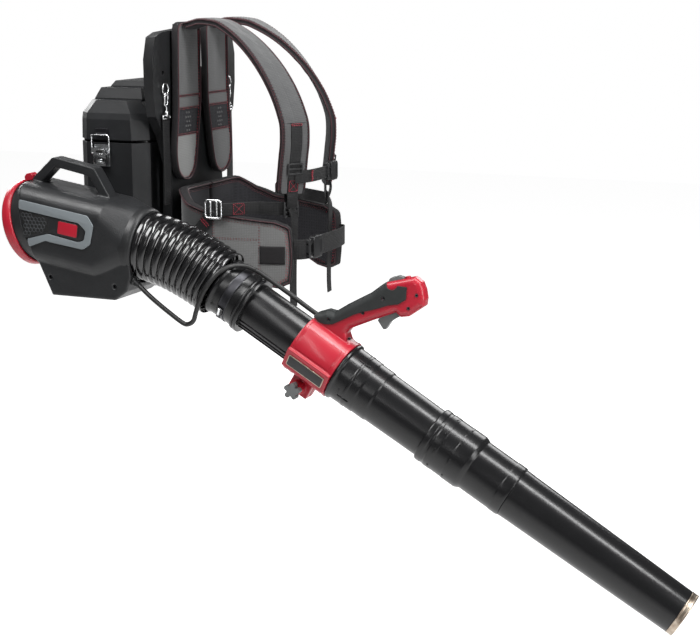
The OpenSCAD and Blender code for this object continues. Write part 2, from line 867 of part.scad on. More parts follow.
module shoulder_strap_right() {
    color("#6a6c6d") mirror([1, 0, 0]) shoulder_strap();
}

module back_pads() {
    color("#555758") {
        both_sides() slab_y(-27, -13) polygon([[14, 504], [100, 504], [104, 344], [110, 300], [116, 258],
            [110, 224], [90, 206], [64, 204], [42, 222], [32, 262], [24, 310], [16, 350]]);
        slab_y(-25, -13) translate([0, 140]) rounded_rect(150, 84, 16);
    }
}

// Hip belt, seen from above: across the back, round the hip and forward
belt_path = concat([[2, -33], [44, -33]], [for (t = [0 : 10 : 90]) [84 + 60 * sin(t), -93 + 60 * cos(t)]],
    [for (k = [1 : 6]) [144 - 32 * pow(k / 6, 2), -93 - 29.5 * k]]);

module hip_belt() {
    intersection() {
        translate([0, 0, 0]) linear_extrude(200) band(belt_path, belt_thick);
        slab_x(-10, 200) polygon([[0, 96], [0, 190], [-40, 188], [-70, 166], [-116, 150], [-240, 137],
            [-262, 128], [-276, 110], [-280, 84], [-278, 50], [-266, 24], [-246, 14], [-220, 18],
            [-120, 66], [-60, 92]]);
    }
}

module hip_belt_left() {
    color("#6a6c6d") hip_belt();
}

module hip_belt_right() {
    color("#6a6c6d") mirror([1, 0, 0]) hip_belt();
}

module webbing() {
    color("#1a1a1a") both_sides() {
        translate([0, 0, 148]) linear_extrude(web_width) band([[153, -147], [136, -168],
            [112, -196], [90, -244]], 2.4);
        translate([85 - web_width / 2, -261, -32]) cube([web_width, 2.4, 170]);
        translate([85, -254, 178]) rotate([0, 0, strap_twist]) translate([-web_width / 2, -2, -12])
            cube([web_width, 2.4, 14]);
        translate([118, -14.5, 160]) cube([web_width, 2, 166]);
    }
    color("#1a1a1a") translate([0, 0, 66]) linear_extrude(waist_web_width) {
        band([[-111, -273], [-104, -284], [-91, -292]], 2.4);
        band([[-38, -293], [60, -293], [104, -285], [111, -273]], 2.4);
    }
}

module chest_strap() {
    color("#1a1a1a") translate([0, 0, 208]) linear_extrude(web_width)
        band([[-52, -282], [-26, -286], [19.5, -286]], 2.4);
}

module plastic_buckles() {
    color("#202122") {
        translate([20, -291, 202]) cube([32, 12, 37]);
        translate([-89, -299, 65]) cube([50, 12, 40]);
        both_sides() translate([85, -256, 150]) rotate([0, 0, strap_twist]) cube([34, 9, 24], center = true);
    }
}

module buckle_frame(w, h, t) {
    linear_extrude(t, center = true) difference() {
        rounded_rect(w, h, 3);
        rounded_rect(w - 8, h - 8, 2);
    }
}

module belt_buckles() {
    color("#b8babc") both_sides() translate([155, -126, 160]) rotate([90, 0, 90]) buckle_frame(34, 36, 4);
}

module snap_hooks() {
    color("#b8babc") both_sides() {
        translate([130, -14, 381]) rotate([90, 0, 0]) ring(13, 9.5, -1.8, 1.8);
        translate([127, -15.5, 331]) cube([6, 3.4, 39]);
    }
}

back_frame();
base_tray();
battery_box();
terminal_block();
lid_hinge_pin();
latch_bracket();
housing_right();
housing_left();
shell_screws();
controller_board();
stator();
shaft_bearings();
trim_panel();
housing_badge();
bellows_rear();
cable_rear();
shoulder_strap_right();
shoulder_strap_left();
back_pads();
hip_belt_right();
hip_belt_left();
webbing();
chest_strap();
plastic_buckles();
belt_buckles();
snap_hooks();
box_lid();
lid_keeper();
lid_gasket();
latch_lever();
latch_bail();
battery_right();
battery_left();
impeller();
rotor_shaft();
intake_cage();
intake_rim();
guard_tab();
swivel_ring();
bellows_front();
cuff();
cuff_clamp();
control_tube();
cable_middle();
handle_shell_right();
handle_shell_left();
grip_cover();
handle_badge();
handle_screws();
clamp_nut();
cable_front();
trigger();
trigger_spring();
cruise_lever();
boost_button();
star_knob();
front_tube();
extension_tube();
nozzle();
nozzle_ring();
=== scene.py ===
import json
import math

import bmesh
import bpy
import numpy as np
from mathutils import Matrix, Vector, noise
from mathutils.bvhtree import BVHTree


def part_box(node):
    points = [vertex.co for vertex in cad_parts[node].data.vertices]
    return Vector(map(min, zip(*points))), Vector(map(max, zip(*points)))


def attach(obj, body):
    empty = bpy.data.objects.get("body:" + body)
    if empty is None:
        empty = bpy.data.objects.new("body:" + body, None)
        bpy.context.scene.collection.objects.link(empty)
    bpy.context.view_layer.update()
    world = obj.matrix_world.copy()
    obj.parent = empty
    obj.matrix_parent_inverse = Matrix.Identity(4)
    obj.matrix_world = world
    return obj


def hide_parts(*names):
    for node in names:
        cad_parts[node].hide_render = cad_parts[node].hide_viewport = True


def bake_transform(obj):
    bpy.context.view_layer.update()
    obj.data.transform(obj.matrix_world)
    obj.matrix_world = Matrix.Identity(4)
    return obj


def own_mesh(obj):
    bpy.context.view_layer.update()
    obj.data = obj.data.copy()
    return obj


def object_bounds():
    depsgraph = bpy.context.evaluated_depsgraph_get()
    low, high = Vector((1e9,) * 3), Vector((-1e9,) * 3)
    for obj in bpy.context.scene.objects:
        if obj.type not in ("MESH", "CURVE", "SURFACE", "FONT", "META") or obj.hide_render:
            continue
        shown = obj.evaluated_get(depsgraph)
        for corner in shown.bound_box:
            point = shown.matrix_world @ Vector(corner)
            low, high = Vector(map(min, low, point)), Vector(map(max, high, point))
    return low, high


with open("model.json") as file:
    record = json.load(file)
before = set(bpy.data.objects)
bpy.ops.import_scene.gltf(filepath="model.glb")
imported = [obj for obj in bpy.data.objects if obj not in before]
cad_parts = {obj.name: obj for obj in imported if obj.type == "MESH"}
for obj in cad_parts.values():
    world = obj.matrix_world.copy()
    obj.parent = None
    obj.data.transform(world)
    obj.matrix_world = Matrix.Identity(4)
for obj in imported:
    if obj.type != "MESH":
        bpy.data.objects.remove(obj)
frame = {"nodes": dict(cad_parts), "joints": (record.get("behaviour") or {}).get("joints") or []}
lo0, hi0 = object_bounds()
scene = bpy.context.scene
NODES = frame["nodes"]
JOINTS = {j["name"]: j for j in frame["joints"]}
MM = 0.001
X, Y, Z = Vector((1, 0, 0)), Vector((0, 1, 0)), Vector((0, 0, 1))
SIDES = ((-1, "right"), (1, "left"))


# ---- Places ----

def joint_pos(name):
    return Vector(JOINTS[name]["pos_m"])


def joint_axis(name):
    return Vector(JOINTS[name]["axis"]).normalized()


def move(x=0, y=0, z=0):
    """A shift in mm."""
    return Matrix.Translation((x * MM, y * MM, z * MM))


def turned(degrees, axis="Z"):
    return Matrix.Rotation(math.radians(degrees), 4, axis)


def placed(origin, x, y, z):
    m = Matrix((x, y, z)).transposed().to_4x4()
    m.translation = origin
    return m


def basis(origin, z):
    """Frame with x across the row, z along the air path and y up from it."""
    z = z.normalized()
    return placed(origin, X, z.cross(X).normalized(), z)


def facing(origin, across, along):
    """Frame on a surface: x across, y along, z out."""
    a = across.normalized()
    b = (along - a * along.dot(a)).normalized()
    return placed(origin, a, b, a.cross(b))


def points(rows, sx=1):
    """Points from rows of mm, mirrored to the wearer's right when sx is -1."""
    return [Vector((sx * x, y, z)) * MM for x, y, z in rows]


TWIST_AT, CUFF_LENGTH, GUARD_DEPTH = 0.230, 0.072, 0.036
FWD = joint_axis("handle_slide")
FLANGE = joint_pos("front_tube_twist") - FWD * TWIST_AT
TUBE = basis(FLANGE, FWD)
CUFF = FLANGE - FWD * CUFF_LENGTH
MID = 2 * joint_pos("tube_tilt") - CUFF
NECK = 2 * joint_pos("tube_swing") - MID
FAN_AXIS = joint_axis("impeller_spin")
FAN = basis(NECK, FAN_AXIS)
IN_FWD = -joint_axis("intake_guard_slide")
RIM_LO, RIM_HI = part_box("intake_rim")
INTAKE = basis((RIM_LO + RIM_HI) / 2 + IN_FWD * GUARD_DEPTH, IN_FWD)


def on_tube(s, h, x=0):
    """Point given along the tube from the cuff flange, up from its axis and across, in mm."""
    return TUBE @ Vector((x * MM, h * MM, s * MM))


# ---- Materials ----

class Graph:
    """The node tree of a material or world. Numbers, colours and node outputs all feed its inputs."""

    def __init__(self, owner):
        owner.use_nodes = True
        self.owner = owner
        self.nodes = owner.node_tree.nodes
        self.links = owner.node_tree.links
        self.bsdf = self.nodes.get("Principled BSDF")

    def feed(self, socket, value):
        if isinstance(value, bpy.types.NodeSocket):
            self.links.new(value, socket)
        else:
            socket.default_value = value

    def node(self, kind, inputs=None, **settings):
        n = self.nodes.new("ShaderNode" + kind)
        for key, value in settings.items():
            setattr(n, key, value)
        for key, value in (inputs or {}).items():
            self.feed(n.inputs[key], value)
        return n

    def coords(self, kind="Object"):
        return self.node("TexCoord").outputs[kind]

    def noise(self, vector, scale, detail=4.0, rough=0.55):
        inputs = {"Vector": vector, "Scale": scale, "Detail": detail, "Roughness": rough}
        return self.node("TexNoise", inputs).outputs["Fac"]

    def span(self, value, lo, hi, a=0.0, b=1.0):
        """Maps a to b onto lo to hi."""
        inputs = {"Value": value, "From Min": a, "From Max": b, "To Min": lo, "To Max": hi}
        return self.node("MapRange", inputs).outputs["Result"]

    def calc(self, operation, a, b):
        return self.node("Math", {0: a, 1: b}, operation=operation).outputs[0]

    def mix(self, value, a, b):
        return self.node("Mix", {0: value, 6: a, 7: b}, data_type="RGBA").outputs[2]

    def bump(self, height, strength, distance, normal=None):
        inputs = {"Height": height, "Strength": strength, "Distance": distance}
        if normal is not None:
            inputs["Normal"] = normal
        return self.node("Bump", inputs).outputs["Normal"]

    def surface(self, values):
        for key, value in values.items():
            self.feed(self.bsdf.inputs[key], value)
        return self.owner


def shade(colour, k):
    return (*[min(c * k, 1) for c in colour[:3]], 1)


def plastic(name, colour, rough, grain=900.0, grain_depth=0.12, mottle=0.12, coat=0.0, spread=0.06,
            leather=0.0, specular=0.38):
    """Moulded plastic: mottled colour, uneven sheen, a fine grain and sometimes a leathered one."""
    g = Graph(bpy.data.materials.new(name))
    pos = g.coords()
    broad = g.span(g.noise(pos, 14.0, 5.0), 0, 1, 0.3, 0.7)
    fine = g.noise(pos, grain, 3.0)
    sheen = g.span(g.noise(pos, 40.0, 6.0), rough - spread, rough + spread, 0.3, 0.7)
    normal = g.bump(fine, grain_depth, 0.0006)
    if leather:
        cells = g.node("TexVoronoi", {"Vector": pos, "Scale": 620.0}, feature="SMOOTH_F1").outputs["Distance"]
        normal = g.bump(cells, leather, 0.0006, normal)
    return g.surface({"Base Color": g.mix(broad, shade(colour, 1 - mottle), shade(colour, 1 + mottle)),
                      "Roughness": g.calc("ADD", sheen, g.span(fine, -0.03, 0.03)),
                      "Specular IOR Level": specular, "Coat Weight": coat, "Coat Roughness": 0.08,
                      "Normal": normal})


def metal(name, colour, rough, scratch=0.25, stain=None):
    """Bare metal with stains and fine scratches across its z."""
    g = Graph(bpy.data.materials.new(name))
    pos = g.coords()
    stretched = g.node("Mapping", {"Vector": pos, "Scale": (1, 1, 14)}).outputs["Vector"]
    lines = g.noise(stretched, 260.0, 6.0, 0.7)
    stains = g.span(g.noise(pos, 60.0, 6.0, 0.65), 0, 1, 0.4, 0.65)
    return g.surface({"Base Color": g.mix(stains, shade(colour, 1.05), stain or shade(colour, 0.75)),
                      "Metallic": 1.0, "Normal": g.bump(lines, scratch, 0.0002),
                      "Roughness": g.span(lines, max(rough - 0.08, 0.03), rough + 0.12, 0.3, 0.7)})


def fabric(name, colour, thread=2.0, contrast=0.35, coords="Object", axes="XZ", depth=0.6, rough=0.9,
           heather=0.25, dots=False):
    """Woven fabric, or an air mesh with dots. thread is the spacing of its threads in mm."""
    g = Graph(bpy.data.materials.new(name))
    pos = g.coords(coords)
    rows = {"Vector": pos, "Scale": math.pi / 20 / (thread * MM), "Distortion": 0.6, "Detail": 1.0}
    warp, weft = [g.node("TexWave", rows, bands_direction=axis).outputs["Fac"] for axis in axes]
    weave = g.calc("MAXIMUM" if dots else "MULTIPLY", warp, weft)
    fibre = g.noise(pos, 2600.0, 2.0)
    blotch = g.calc("MULTIPLY", g.noise(pos, 26.0, 6.0, 0.6), 0.3)
    uneven = g.calc("ADD", g.calc("MULTIPLY", fibre, heather), blotch)
    tone = g.calc("ADD", g.calc("MULTIPLY", weave, contrast), uneven)
    tone = g.span(tone, 0, 1, 0.01 + heather * 0.36, 0.59 + heather * 0.64)
    return g.surface({"Base Color": g.mix(tone, shade(colour, 0.62), shade(colour, 1.3)), "Roughness": rough,
                      "Sheen Weight": 0.2 if colour[0] > 0.03 else 0.02, "Sheen Roughness": 0.5,
                      "Specular IOR Level": 0.25,
                      "Normal": g.bump(fibre, 0.3, 0.0003, g.bump(weave, depth, 0.0005))})


def heathered(name, colour, **more):
    return fabric(name, colour, 1.6, depth=0.5, heather=0.9, **more)


def air_mesh(name, colour, **more):
    return fabric(name, colour, 3.0, 0.6, depth=1.0, dots=True, **more)


ALONG = {"coords": "UV", "axes": "XY"}
M = {
    "housing": plastic("charcoal_leathered", (0.013, 0.0135, 0.0145), 0.38, 1400, 0.12, 0.15, leather=0.35),
    "box": plastic("charcoal_box", (0.011, 0.0115, 0.0125), 0.46, 1200, 0.15, 0.15, leather=0.15,
                   specular=0.22),
    "shell": plastic("black_shell", (0.010, 0.0103, 0.011), 0.40, 1000, 0.15, 0.15),
    "tube": plastic("satin_tube", (0.0065, 0.0065, 0.007), 0.25, 1500, 0.03, 0.1, spread=0.015),
    "gloss": plastic("gloss_bellows", (0.005, 0.005, 0.0055), 0.20, 700, 0.03, 0.1, coat=0.6, spread=0.03),
    "cable": plastic("cable_rubber", (0.010, 0.010, 0.010), 0.42, 700, 0.12),
    "red": plastic("red_plastic", (0.32, 0.008, 0.020), 0.34, 1100, 0.07, 0.06, coat=0.15, spread=0.04),
    "grey": plastic("grey_plastic", (0.115, 0.120, 0.120), 0.34, 1000, 0.07, 0.06),
    "trim": plastic("blue_grey_trim", (0.150, 0.168, 0.178), 0.42, 1300, 0.12, 0.06),
    "white": plastic("fan_plastic", (0.5, 0.5, 0.47), 0.4),
    "rubber": plastic("grip_rubber", (0.0125, 0.0145, 0.0145), 0.62, 1500, 0.35, 0.12, leather=0.2),
    # Near-black, painted shade: put where the grille, the screw sockets and the latch slot are hollow
    "dark": plastic("painted_hollow_shade", (0.004, 0.004, 0.004), 0.6),
    "grille": plastic("dark_grille", (0.030, 0.033, 0.036), 0.4, 1300, 0.12, 0.06),
    "board": plastic("coated_board", (0.01, 0.12, 0.05), 0.3),
    "steel": metal("brushed_steel", (0.50, 0.51, 0.52), 0.30),
    "chrome": metal("bright_steel", (0.72, 0.73, 0.74), 0.12, 0.06),
    "screw": metal("dark_screw", (0.05, 0.05, 0.055), 0.35),
    "tip": metal("tan_metal", (0.44, 0.38, 0.31), 0.34, 0.3, (0.28, 0.22, 0.17, 1)),
    "pad_grey": heathered("grey_woven", (0.070, 0.071, 0.072)),
    "pad_light": heathered("light_grey_woven", (0.158, 0.161, 0.158)),
    "belt_grey": heathered("grey_woven_side", (0.128, 0.129, 0.128), axes="YZ"),
    # The near belt wing's rear panel: grey cloth darkened as painted shade
    "belt_rear": heathered("grey_woven_rear_painted_shade", (0.046, 0.047, 0.048), axes="YZ"),
    "strap_grey": heathered("grey_strap_woven", (0.066, 0.067, 0.068), **ALONG),
    "pad_mesh": air_mesh("black_air_mesh", (0.012, 0.012, 0.014)),
    "belt_mesh": air_mesh("black_air_mesh_side", (0.013, 0.013, 0.015), axes="YZ"),
    "strap_mesh": air_mesh("black_air_mesh_strap", (0.012, 0.012, 0.014), **ALONG),
    "bind": fabric("black_binding", (0.010, 0.009, 0.010), 1.1, 0.4, rough=0.75, **ALONG),
    "web": fabric("black_webbing", (0.008, 0.008, 0.0085), 1.5, 0.7, depth=1.0, rough=0.6, **ALONG),
    "seam": fabric("dull_red_thread", (0.13, 0.010, 0.018), 0.8, rough=0.7),
    "thread": fabric("red_thread", (0.30, 0.012, 0.03), 0.8, rough=0.7),
    "piping": fabric("dark_red_piping", (0.040, 0.008, 0.012), 0.9, rough=0.7),
    "foam": fabric("black_cloth", (0.016, 0.016, 0.017), 1.4, axes="YZ"),
}


# ---- Outlines and curves ----

def rounded(outline, r, steps=4, closed=False):
    """Outline with its corners rounded; r is in the outline's own unit."""
    corners = [Vector(p) for p in outline]
    n = len(corners)
    out = []
    for i, p in enumerate(corners):
        if not closed and i in (0, n - 1):
            out.append(p)
            continue
        a, b = corners[i - 1] - p, corners[(i + 1) % n] - p
        start = p + a.normalized() * min(r, a.length * 0.45)
        end = p + b.normalized() * min(r, b.length * 0.45)
        for k in range(steps + 1):
            t = k / steps
            out.append(start * (1 - t) ** 2 + p * 2 * t * (1 - t) + end * t * t)
    return out


def rounded_box(w, h, r, n=5):
    out = []
    for cx, cy, start in ((1, 1, 0), (-1, 1, 90), (-1, -1, 180), (1, -1, 270)):
        for k in range(n + 1):
            a = math.radians(start + 90 * k / n)
            out.append((cx * (w / 2 - r) + r * math.cos(a), cy * (h / 2 - r) + r * math.sin(a)))
    return out


def spline(knots, per=8):
    """Smooth curve through points."""
    p = [Vector(q) for q in knots]
    last = len(p) - 1
    out = []
    for i in range(last):
        a, b, c, d = p[max(i - 1, 0)], p[i], p[i + 1], p[min(i + 2, last)]
        for k in range(per):
            t = k / per
            out.append(b + 0.5 * ((c - a) * t + (2 * a - 5 * b + 4 * c - d) * t * t
                                  + (3 * b - a - 3 * c + d) * t ** 3))
    return out + [p[-1]]


def resample(path, step):
    """The same curve with evenly spaced points."""
    out, left = [path[0].copy()], step
    for a, b in zip(path, path[1:]):
        length, at = (b - a).length, 0.0
        while length - at >= left:
            at += left
            out.append(a.lerp(b, at / length))
            left = step
        left -= length - at
    if (out[-1] - path[-1]).length > step * 0.3:
        out.append(path[-1].copy())
    return out


def loop(path, step):
    """A closed curve with evenly spaced points."""
    return resample(path + [path[0]], step)[:-1]


def tangents(path, closed=False):
    n = len(path)
    if closed:
        return [(path[(i + 1) % n] - path[i - 1]).normalized() for i in range(n)]
    return [(path[min(i + 1, n - 1)] - path[max(i - 1, 0)]).normalized() for i in range(n)]


def rope_sides(path, closed=False):
    """Across directions that turn as little as possible along a path."""
    tan = tangents(path, closed)
    side = tan[0].orthogonal().normalized()
    out = []
    for t in tan:
        side = (side - t * side.dot(t)).normalized()
        out.append(side)
    return out


def circle(r, n=20):
    return [(r * math.cos(2 * math.pi * k / n), r * math.sin(2 * math.pi * k / n)) for k in range(n)]


def tape_section(w, t, r=None):
    """Section of a tape, w across and t thick."""
    return rounded_box(w, t, min(r or t * 0.45, t * 0.49, w * 0.49), 4)


# ---- Meshes ----

def linked(name, data):
    ob = bpy.data.objects.new(name, data)
    scene.collection.objects.link(ob)
    return ob


def make(verts, faces, mats, uvs=None, slots=None):
    me = bpy.data.meshes.new("part")
    me.from_pydata([tuple(v) for v in verts], [], faces)
    for m in [mats] if isinstance(mats, str) else mats:
        me.materials.append(M[m])
    if slots is not None:
        me.polygons.foreach_set("material_index", slots)
    me.shade_smooth()
    if uvs is not None:
        me.uv_layers.new(name="uv").data.foreach_set("uv", [c for f in faces for i in f for c in uvs[i]])
    me.update()
    return linked("part", me)


def turned_out(ob, change=None):
    """Turns an object's faces outwards, after any change to its bmesh."""
    bm = bmesh.new()
    bm.from_mesh(ob.data)
    if change:
        change(bm)
    bmesh.ops.recalc_face_normals(bm, faces=bm.faces)
    bm.to_mesh(ob.data)
    bm.free()
    return ob


def skin(rings, mats, closed=False, cap=False, uvs=None, slots=None):
    """A skin over rings of points. closed joins the last ring to the first, and cap fills both ends."""
    n, m = len(rings), len(rings[0])
    faces, index = [], []
    for i in range(n if closed else n - 1):
        a, b = i * m, (i + 1) % n * m
        faces += [(a + k, b + k, b + (k + 1) % m, a + (k + 1) % m) for k in range(m)]
        index += slots or [0] * m
    if cap:
        faces += [tuple(range(m)), tuple((n - 1) * m + k for k in reversed(range(m)))]
        index += [0, 0]
    return turned_out(make([p for ring in rings for p in ring], faces, mats, uvs, index))


def lathe(profile, place, mat, segs=128, r=0.8, closed=False, raw=False):
    """Turns a profile of (radius, distance) in mm about the frame's z. raw keeps its corners sharp."""
    prof = profile if raw else rounded(profile, r, 4, closed)
    return skin([[place @ Vector((x * MM, y * MM, p[1] * MM)) for x, y in circle(p[0], segs)] for p in prof],
                mat, closed)


def sweep(path, sides, section, mats, closed=False, slots=None):
    """Sweeps a section of (across, out) in mm along a path, with an across direction for each point."""
    rings, uvs, run = [], [], 0.0
    for i, (p, t) in enumerate(zip(path, tangents(path, closed))):
        if i:
            run += (p - path[i - 1]).length
        side = (sides[i] - t * sides[i].dot(t)).normalized()
        up = side.cross(t).normalized()
        ring = [(u * MM, v * MM) for u, v in (section(i, run) if callable(section) else section)]
        rings.append([p + side * u + up * v for u, v in ring])
        uvs += [(u if abs(u) > 1e-5 else v, run) for u, v in ring]
    return skin(rings, mats, closed, not closed, uvs, slots)


def rope(path, r, mat, n=20, closed=False):
    """A round wire of radius r mm along a path."""
    return sweep(path, rope_sides(path, closed), circle(r, n), mat, closed)


def strap(path, across, w=24.5, t=2.2, mat="web", r=None, closed=False):
    """A flat tape along a path. across is one direction, or one for each point."""
    sides = across if isinstance(across, list) else [across] * len(path)
    return sweep(path, sides, tape_section(w, t, r), mat, closed)


def slab(outline, depth, place, mat, bevel=0.8, steps=3):
    """Bevelled plate: an outline in mm in the frame's x and y, from z 0 to depth mm."""
    bm = bmesh.new()
    face = bm.faces.new([bm.verts.new((p[0] * MM, p[1] * MM, 0)) for p in outline])
    top = bmesh.ops.extrude_face_region(bm, geom=[face])["geom"]
    bmesh.ops.translate(bm, vec=Z * depth * MM, verts=[v for v in top if isinstance(v, bmesh.types.BMVert)])
    bmesh.ops.recalc_face_normals(bm, faces=bm.faces)
    edges = [e for e in bm.edges if len(e.link_faces) == 2 and e.calc_face_angle() > math.radians(25)]
    bmesh.ops.bevel(bm, geom=edges, offset=bevel * MM, segments=steps, affect="EDGES", profile=0.5,
                    clamp_overlap=True)
    bmesh.ops.transform(bm, matrix=place, verts=bm.verts)
    me = bpy.data.meshes.new("part")
    bm.to_mesh(me)
    bm.free()
    me.materials.append(M[mat])
    me.shade_smooth()
    me.set_sharp_from_angle(angle=math.radians(40))
    return linked("part", me)


def block(size, place, mat, bevel=0.6):
    """Bevelled block of size (x, y, z) mm centred in the frame."""
    x, y, z = (s / 2 for s in size)
    return slab([(-x, -y), (x, -y), (x, y), (-x, y)], 2 * z, place @ move(0, 0, -z), mat, bevel)


def joined(parts):
    """One object from several."""
    bm = bmesh.new()
    mats = []
    for ob in parts:
        me = ob.data
        mats += [m for m in me.materials if m not in mats]
        remap = [mats.index(m) for m in me.materials]
        for p in me.polygons:
            p.material_index = remap[p.material_index]
        bm.from_mesh(me)
        bpy.data.objects.remove(ob)
        bpy.data.meshes.remove(me)
    out = bpy.data.meshes.new("part")
    bm.to_mesh(out)
    bm.free()
    for m in mats:
        out.materials.append(m)
    return linked("part", out)


def applied(ob):
    """Applies every modifier."""
    me = bpy.data.meshes.new_from_object(ob.evaluated_get(bpy.context.evaluated_depsgraph_get()))
    ob.modifiers.clear()
    ob.data = me
    return ob


def cad_copy(*nodes):
    bm = bmesh.new()
    for n in nodes:
        bm.from_mesh(NODES[n].data)
    me = bpy.data.meshes.new("part")
    bm.to_mesh(me)
    bm.free()
    return linked("part", me)


def merge_flats(bm):
    """Welds a CAD mesh and merges its flat triangles."""
    bmesh.ops.remove_doubles(bm, verts=bm.verts, dist=2e-5)
    bmesh.ops.dissolve_limit(bm, angle_limit=math.radians(1.5), verts=bm.verts, edges=bm.edges)


def bevelled(node, mat, width=1.0, angle=28, change=merge_flats):
    """A copy of a CAD node with its edges rounded off."""
    ob = turned_out(cad_copy(node), change)
    ob.data.materials.append(M[mat])
    ob.data.shade_smooth()
    b = ob.modifiers.new("bevel", "BEVEL")
    b.width, b.segments = width * MM, 3
    b.limit_method, b.angle_limit = "ANGLE", math.radians(angle)
    ob.modifiers.new("normals", "WEIGHTED_NORMAL")
    return applied(ob)


def remeshed(nodes, mat, voxel, smooth):
    """A copy of CAD nodes rebuilt as an even mesh with softened edges."""
    ob = cad_copy(*nodes)
    r = ob.modifiers.new("remesh", "REMESH")
    r.mode, r.voxel_size, r.use_smooth_shade = "VOXEL", voxel * MM, True
    s = ob.modifiers.new("smooth", "SMOOTH")
    s.factor, s.iterations = 0.5, smooth
    applied(ob)
    ob.data.materials.clear()
    ob.data.materials.append(M[mat])
    ob.data.shade_smooth()
    return ob


def get_points(me):
    co = np.zeros(len(me.vertices) * 3, np.float32)
    me.vertices.foreach_get("co", co)
    return co.reshape(-1, 3)


def set_points(me, co):
    me.vertices.foreach_set("co", co.astype(np.float32).reshape(-1))


# ---- Pieces ----

def named(name, parts):
    ob = joined(parts) if isinstance(parts, list) else parts
    ob.name = ob.data.name = name
    return ob


def piece(name, parts, body, slot, *nodes):
    """One named piece that rides on a body, in place of the CAD nodes given."""
    ob = named(name, parts)
    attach(ob, body)
    if nodes:
        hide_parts(*nodes)
    return ob


def on_pack(name, parts, slot="black_fabric", *nodes):
    return piece(name, parts, "pack", slot, *nodes)


def bent(name, parts, body, next_body, start, end, slot, *nodes):
    """One named piece, baked in place where it stands, in place of the CAD nodes given."""
    ob = named(name, parts)
    tuple(start)
    tuple(end)
    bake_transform(ob)
    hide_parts(*nodes)
    return ob


# ---- Stitches ----

def stitches(path, normals, mat="thread", dash=4.0, space=2.4, r=0.45, lift=0.35):
    """A row of raised thread dashes along a path on a surface."""
    lengths = [0.0]
    for a, b in zip(path, path[1:]):
        lengths.append(lengths[-1] + (b - a).length)
    total = lengths[-1]

    def at(d):
        for i in range(len(lengths) - 1):
            if lengths[i + 1] >= d:
                t = (d - lengths[i]) / max(lengths[i + 1] - lengths[i], 1e-9)
                return path[i].lerp(path[i + 1], t), normals[i].lerp(normals[i + 1], t).normalized()
        return path[-1], normals[-1]

    verts, faces = [], []
    d = 0.0
    while d + dash * MM < total:
        base = len(verts)
        for k, (thin, low) in enumerate(((0.35, 0.1), (1, 1), (1, 1), (0.35, 0.1))):
            here = d + dash * MM * k / 3
            p, n = at(here)
            q, _ = at(min(here + 0.0004, total))
            t = (q - p).normalized() if (q - p).length > 1e-7 else (path[-1] - path[-2]).normalized()
            s = t.cross(n).normalized()
            c = p + n * lift * low * MM
            verts += [c + s * x * MM + n * y * MM for x, y in circle(r * thin, 6)]
        for k in range(3):
            a = base + k * 6
            faces += [(a + j, a + (j + 1) % 6, a + 6 + (j + 1) % 6, a + 6 + j) for j in range(6)]
        d += (dash + space) * MM
    return make(verts, faces, mat)


def bar_tack(centre, across, along, normal, w, h, cross=True):
    """A sewn box, w across and h along in mm, with a cross in it or not."""
    a, b = across.normalized() * w / 2 * MM, along.normalized() * h / 2 * MM
    lines = [(-1, -1, 1, -1), (1, -1, 1, 1), (1, 1, -1, 1), (-1, 1, -1, -1)]
    if cross:
        lines += [(-1, -1, 1, 1), (-1, 1, 1, -1)]
    parts = []
    for x0, y0, x1, y1 in lines:
        p, q = centre + a * x0 + b * y0, centre + a * x1 + b * y1
        line = [p.lerp(q, k / 8) for k in range(9)]
        parts.append(stitches(line, [normal] * 9, "thread", 3.0, 0.8, 0.55, 0.4))
    return joined(parts)


# ---- Stage ----

def pale_floor():
    """Matt white, with a glow for the camera alone that grows with distance and hides the horizon."""
    g = Graph(bpy.data.materials.new("pale_floor"))
    far = g.node("VectorMath", {0: g.coords()}, operation="LENGTH").outputs["Value"]
    seen = g.node("LightPath").outputs["Is Camera Ray"]
    glow = g.node("Emission", {"Strength": g.calc("MULTIPLY", seen, g.span(far, 0.1, 0.86, 0.9, 2.4))})
    both = g.node("AddShader", {0: g.bsdf.outputs[0], 1: glow.outputs[0]})
    g.feed(g.nodes["Material Output"].inputs[0], both.outputs[0])
    return g.surface({"Base Color": (0.9, 0.9, 0.9, 1), "Roughness": 0.6})


FLOOR_DROP, FLOOR_HALF = 0.36, 9
M["floor"] = pale_floor()
corners = [Vector((x, y, 0)) * FLOOR_HALF + Z * (lo0.z - FLOOR_DROP) for x, y in
           ((-1, -1), (1, -1), (1, 1), (-1, 1))]
named("floor", make(corners, [(0, 1, 2, 3)], "floor"))

sky = Graph(bpy.data.worlds.new("studio"))
scene.world = sky.owner
sky_seen, sky_light = (sky.node("Background", {"Color": (1, 1, 1, 1), "Strength": s}) for s in (1.0, 0.12))
by_ray = sky.node("MixShader", {0: sky.node("LightPath").outputs["Is Camera Ray"], 1: sky_light.outputs[0],
                                2: sky_seen.outputs[0]})
sky.feed(sky.nodes["World Output"].inputs[0], by_ray.outputs[0])


def softbox(name, where, target, w, h, power):
    data = bpy.data.lights.new(name, "AREA")
    data.shape, data.size, data.size_y, data.energy = "RECTANGLE", w, h, power
    ob = linked(name, data)
    ob.location = where
    ob.rotation_mode = "QUATERNION"
    ob.rotation_quaternion = (target - Vector(where)).to_track_quat("-Z", "Y")
    return ob


# Each light's place, size and power
LIT = Vector((-0.1, -0.4, 0.05))
for name, where, w, h, power in (("key", (-1.3, 0.5, 2.2), 1.5, 1.1, 70),
                                 ("side", (-2.8, -0.4, 1.6), 0.35, 1.9, 14),
                                 ("front", (-1.4, -3.3, 0.4), 0.9, 1.6, 38),
                                 ("top", (0.0, -0.9, 2.5), 0.9, 0.9, 26),
                                 ("back", (1.6, 2.4, 1.3), 1.6, 1.4, 60),
                                 ("left", (2.8, -0.8, 1.3), 1.4, 1.4, 30)):
    softbox(name, where, LIT, w, h, power)
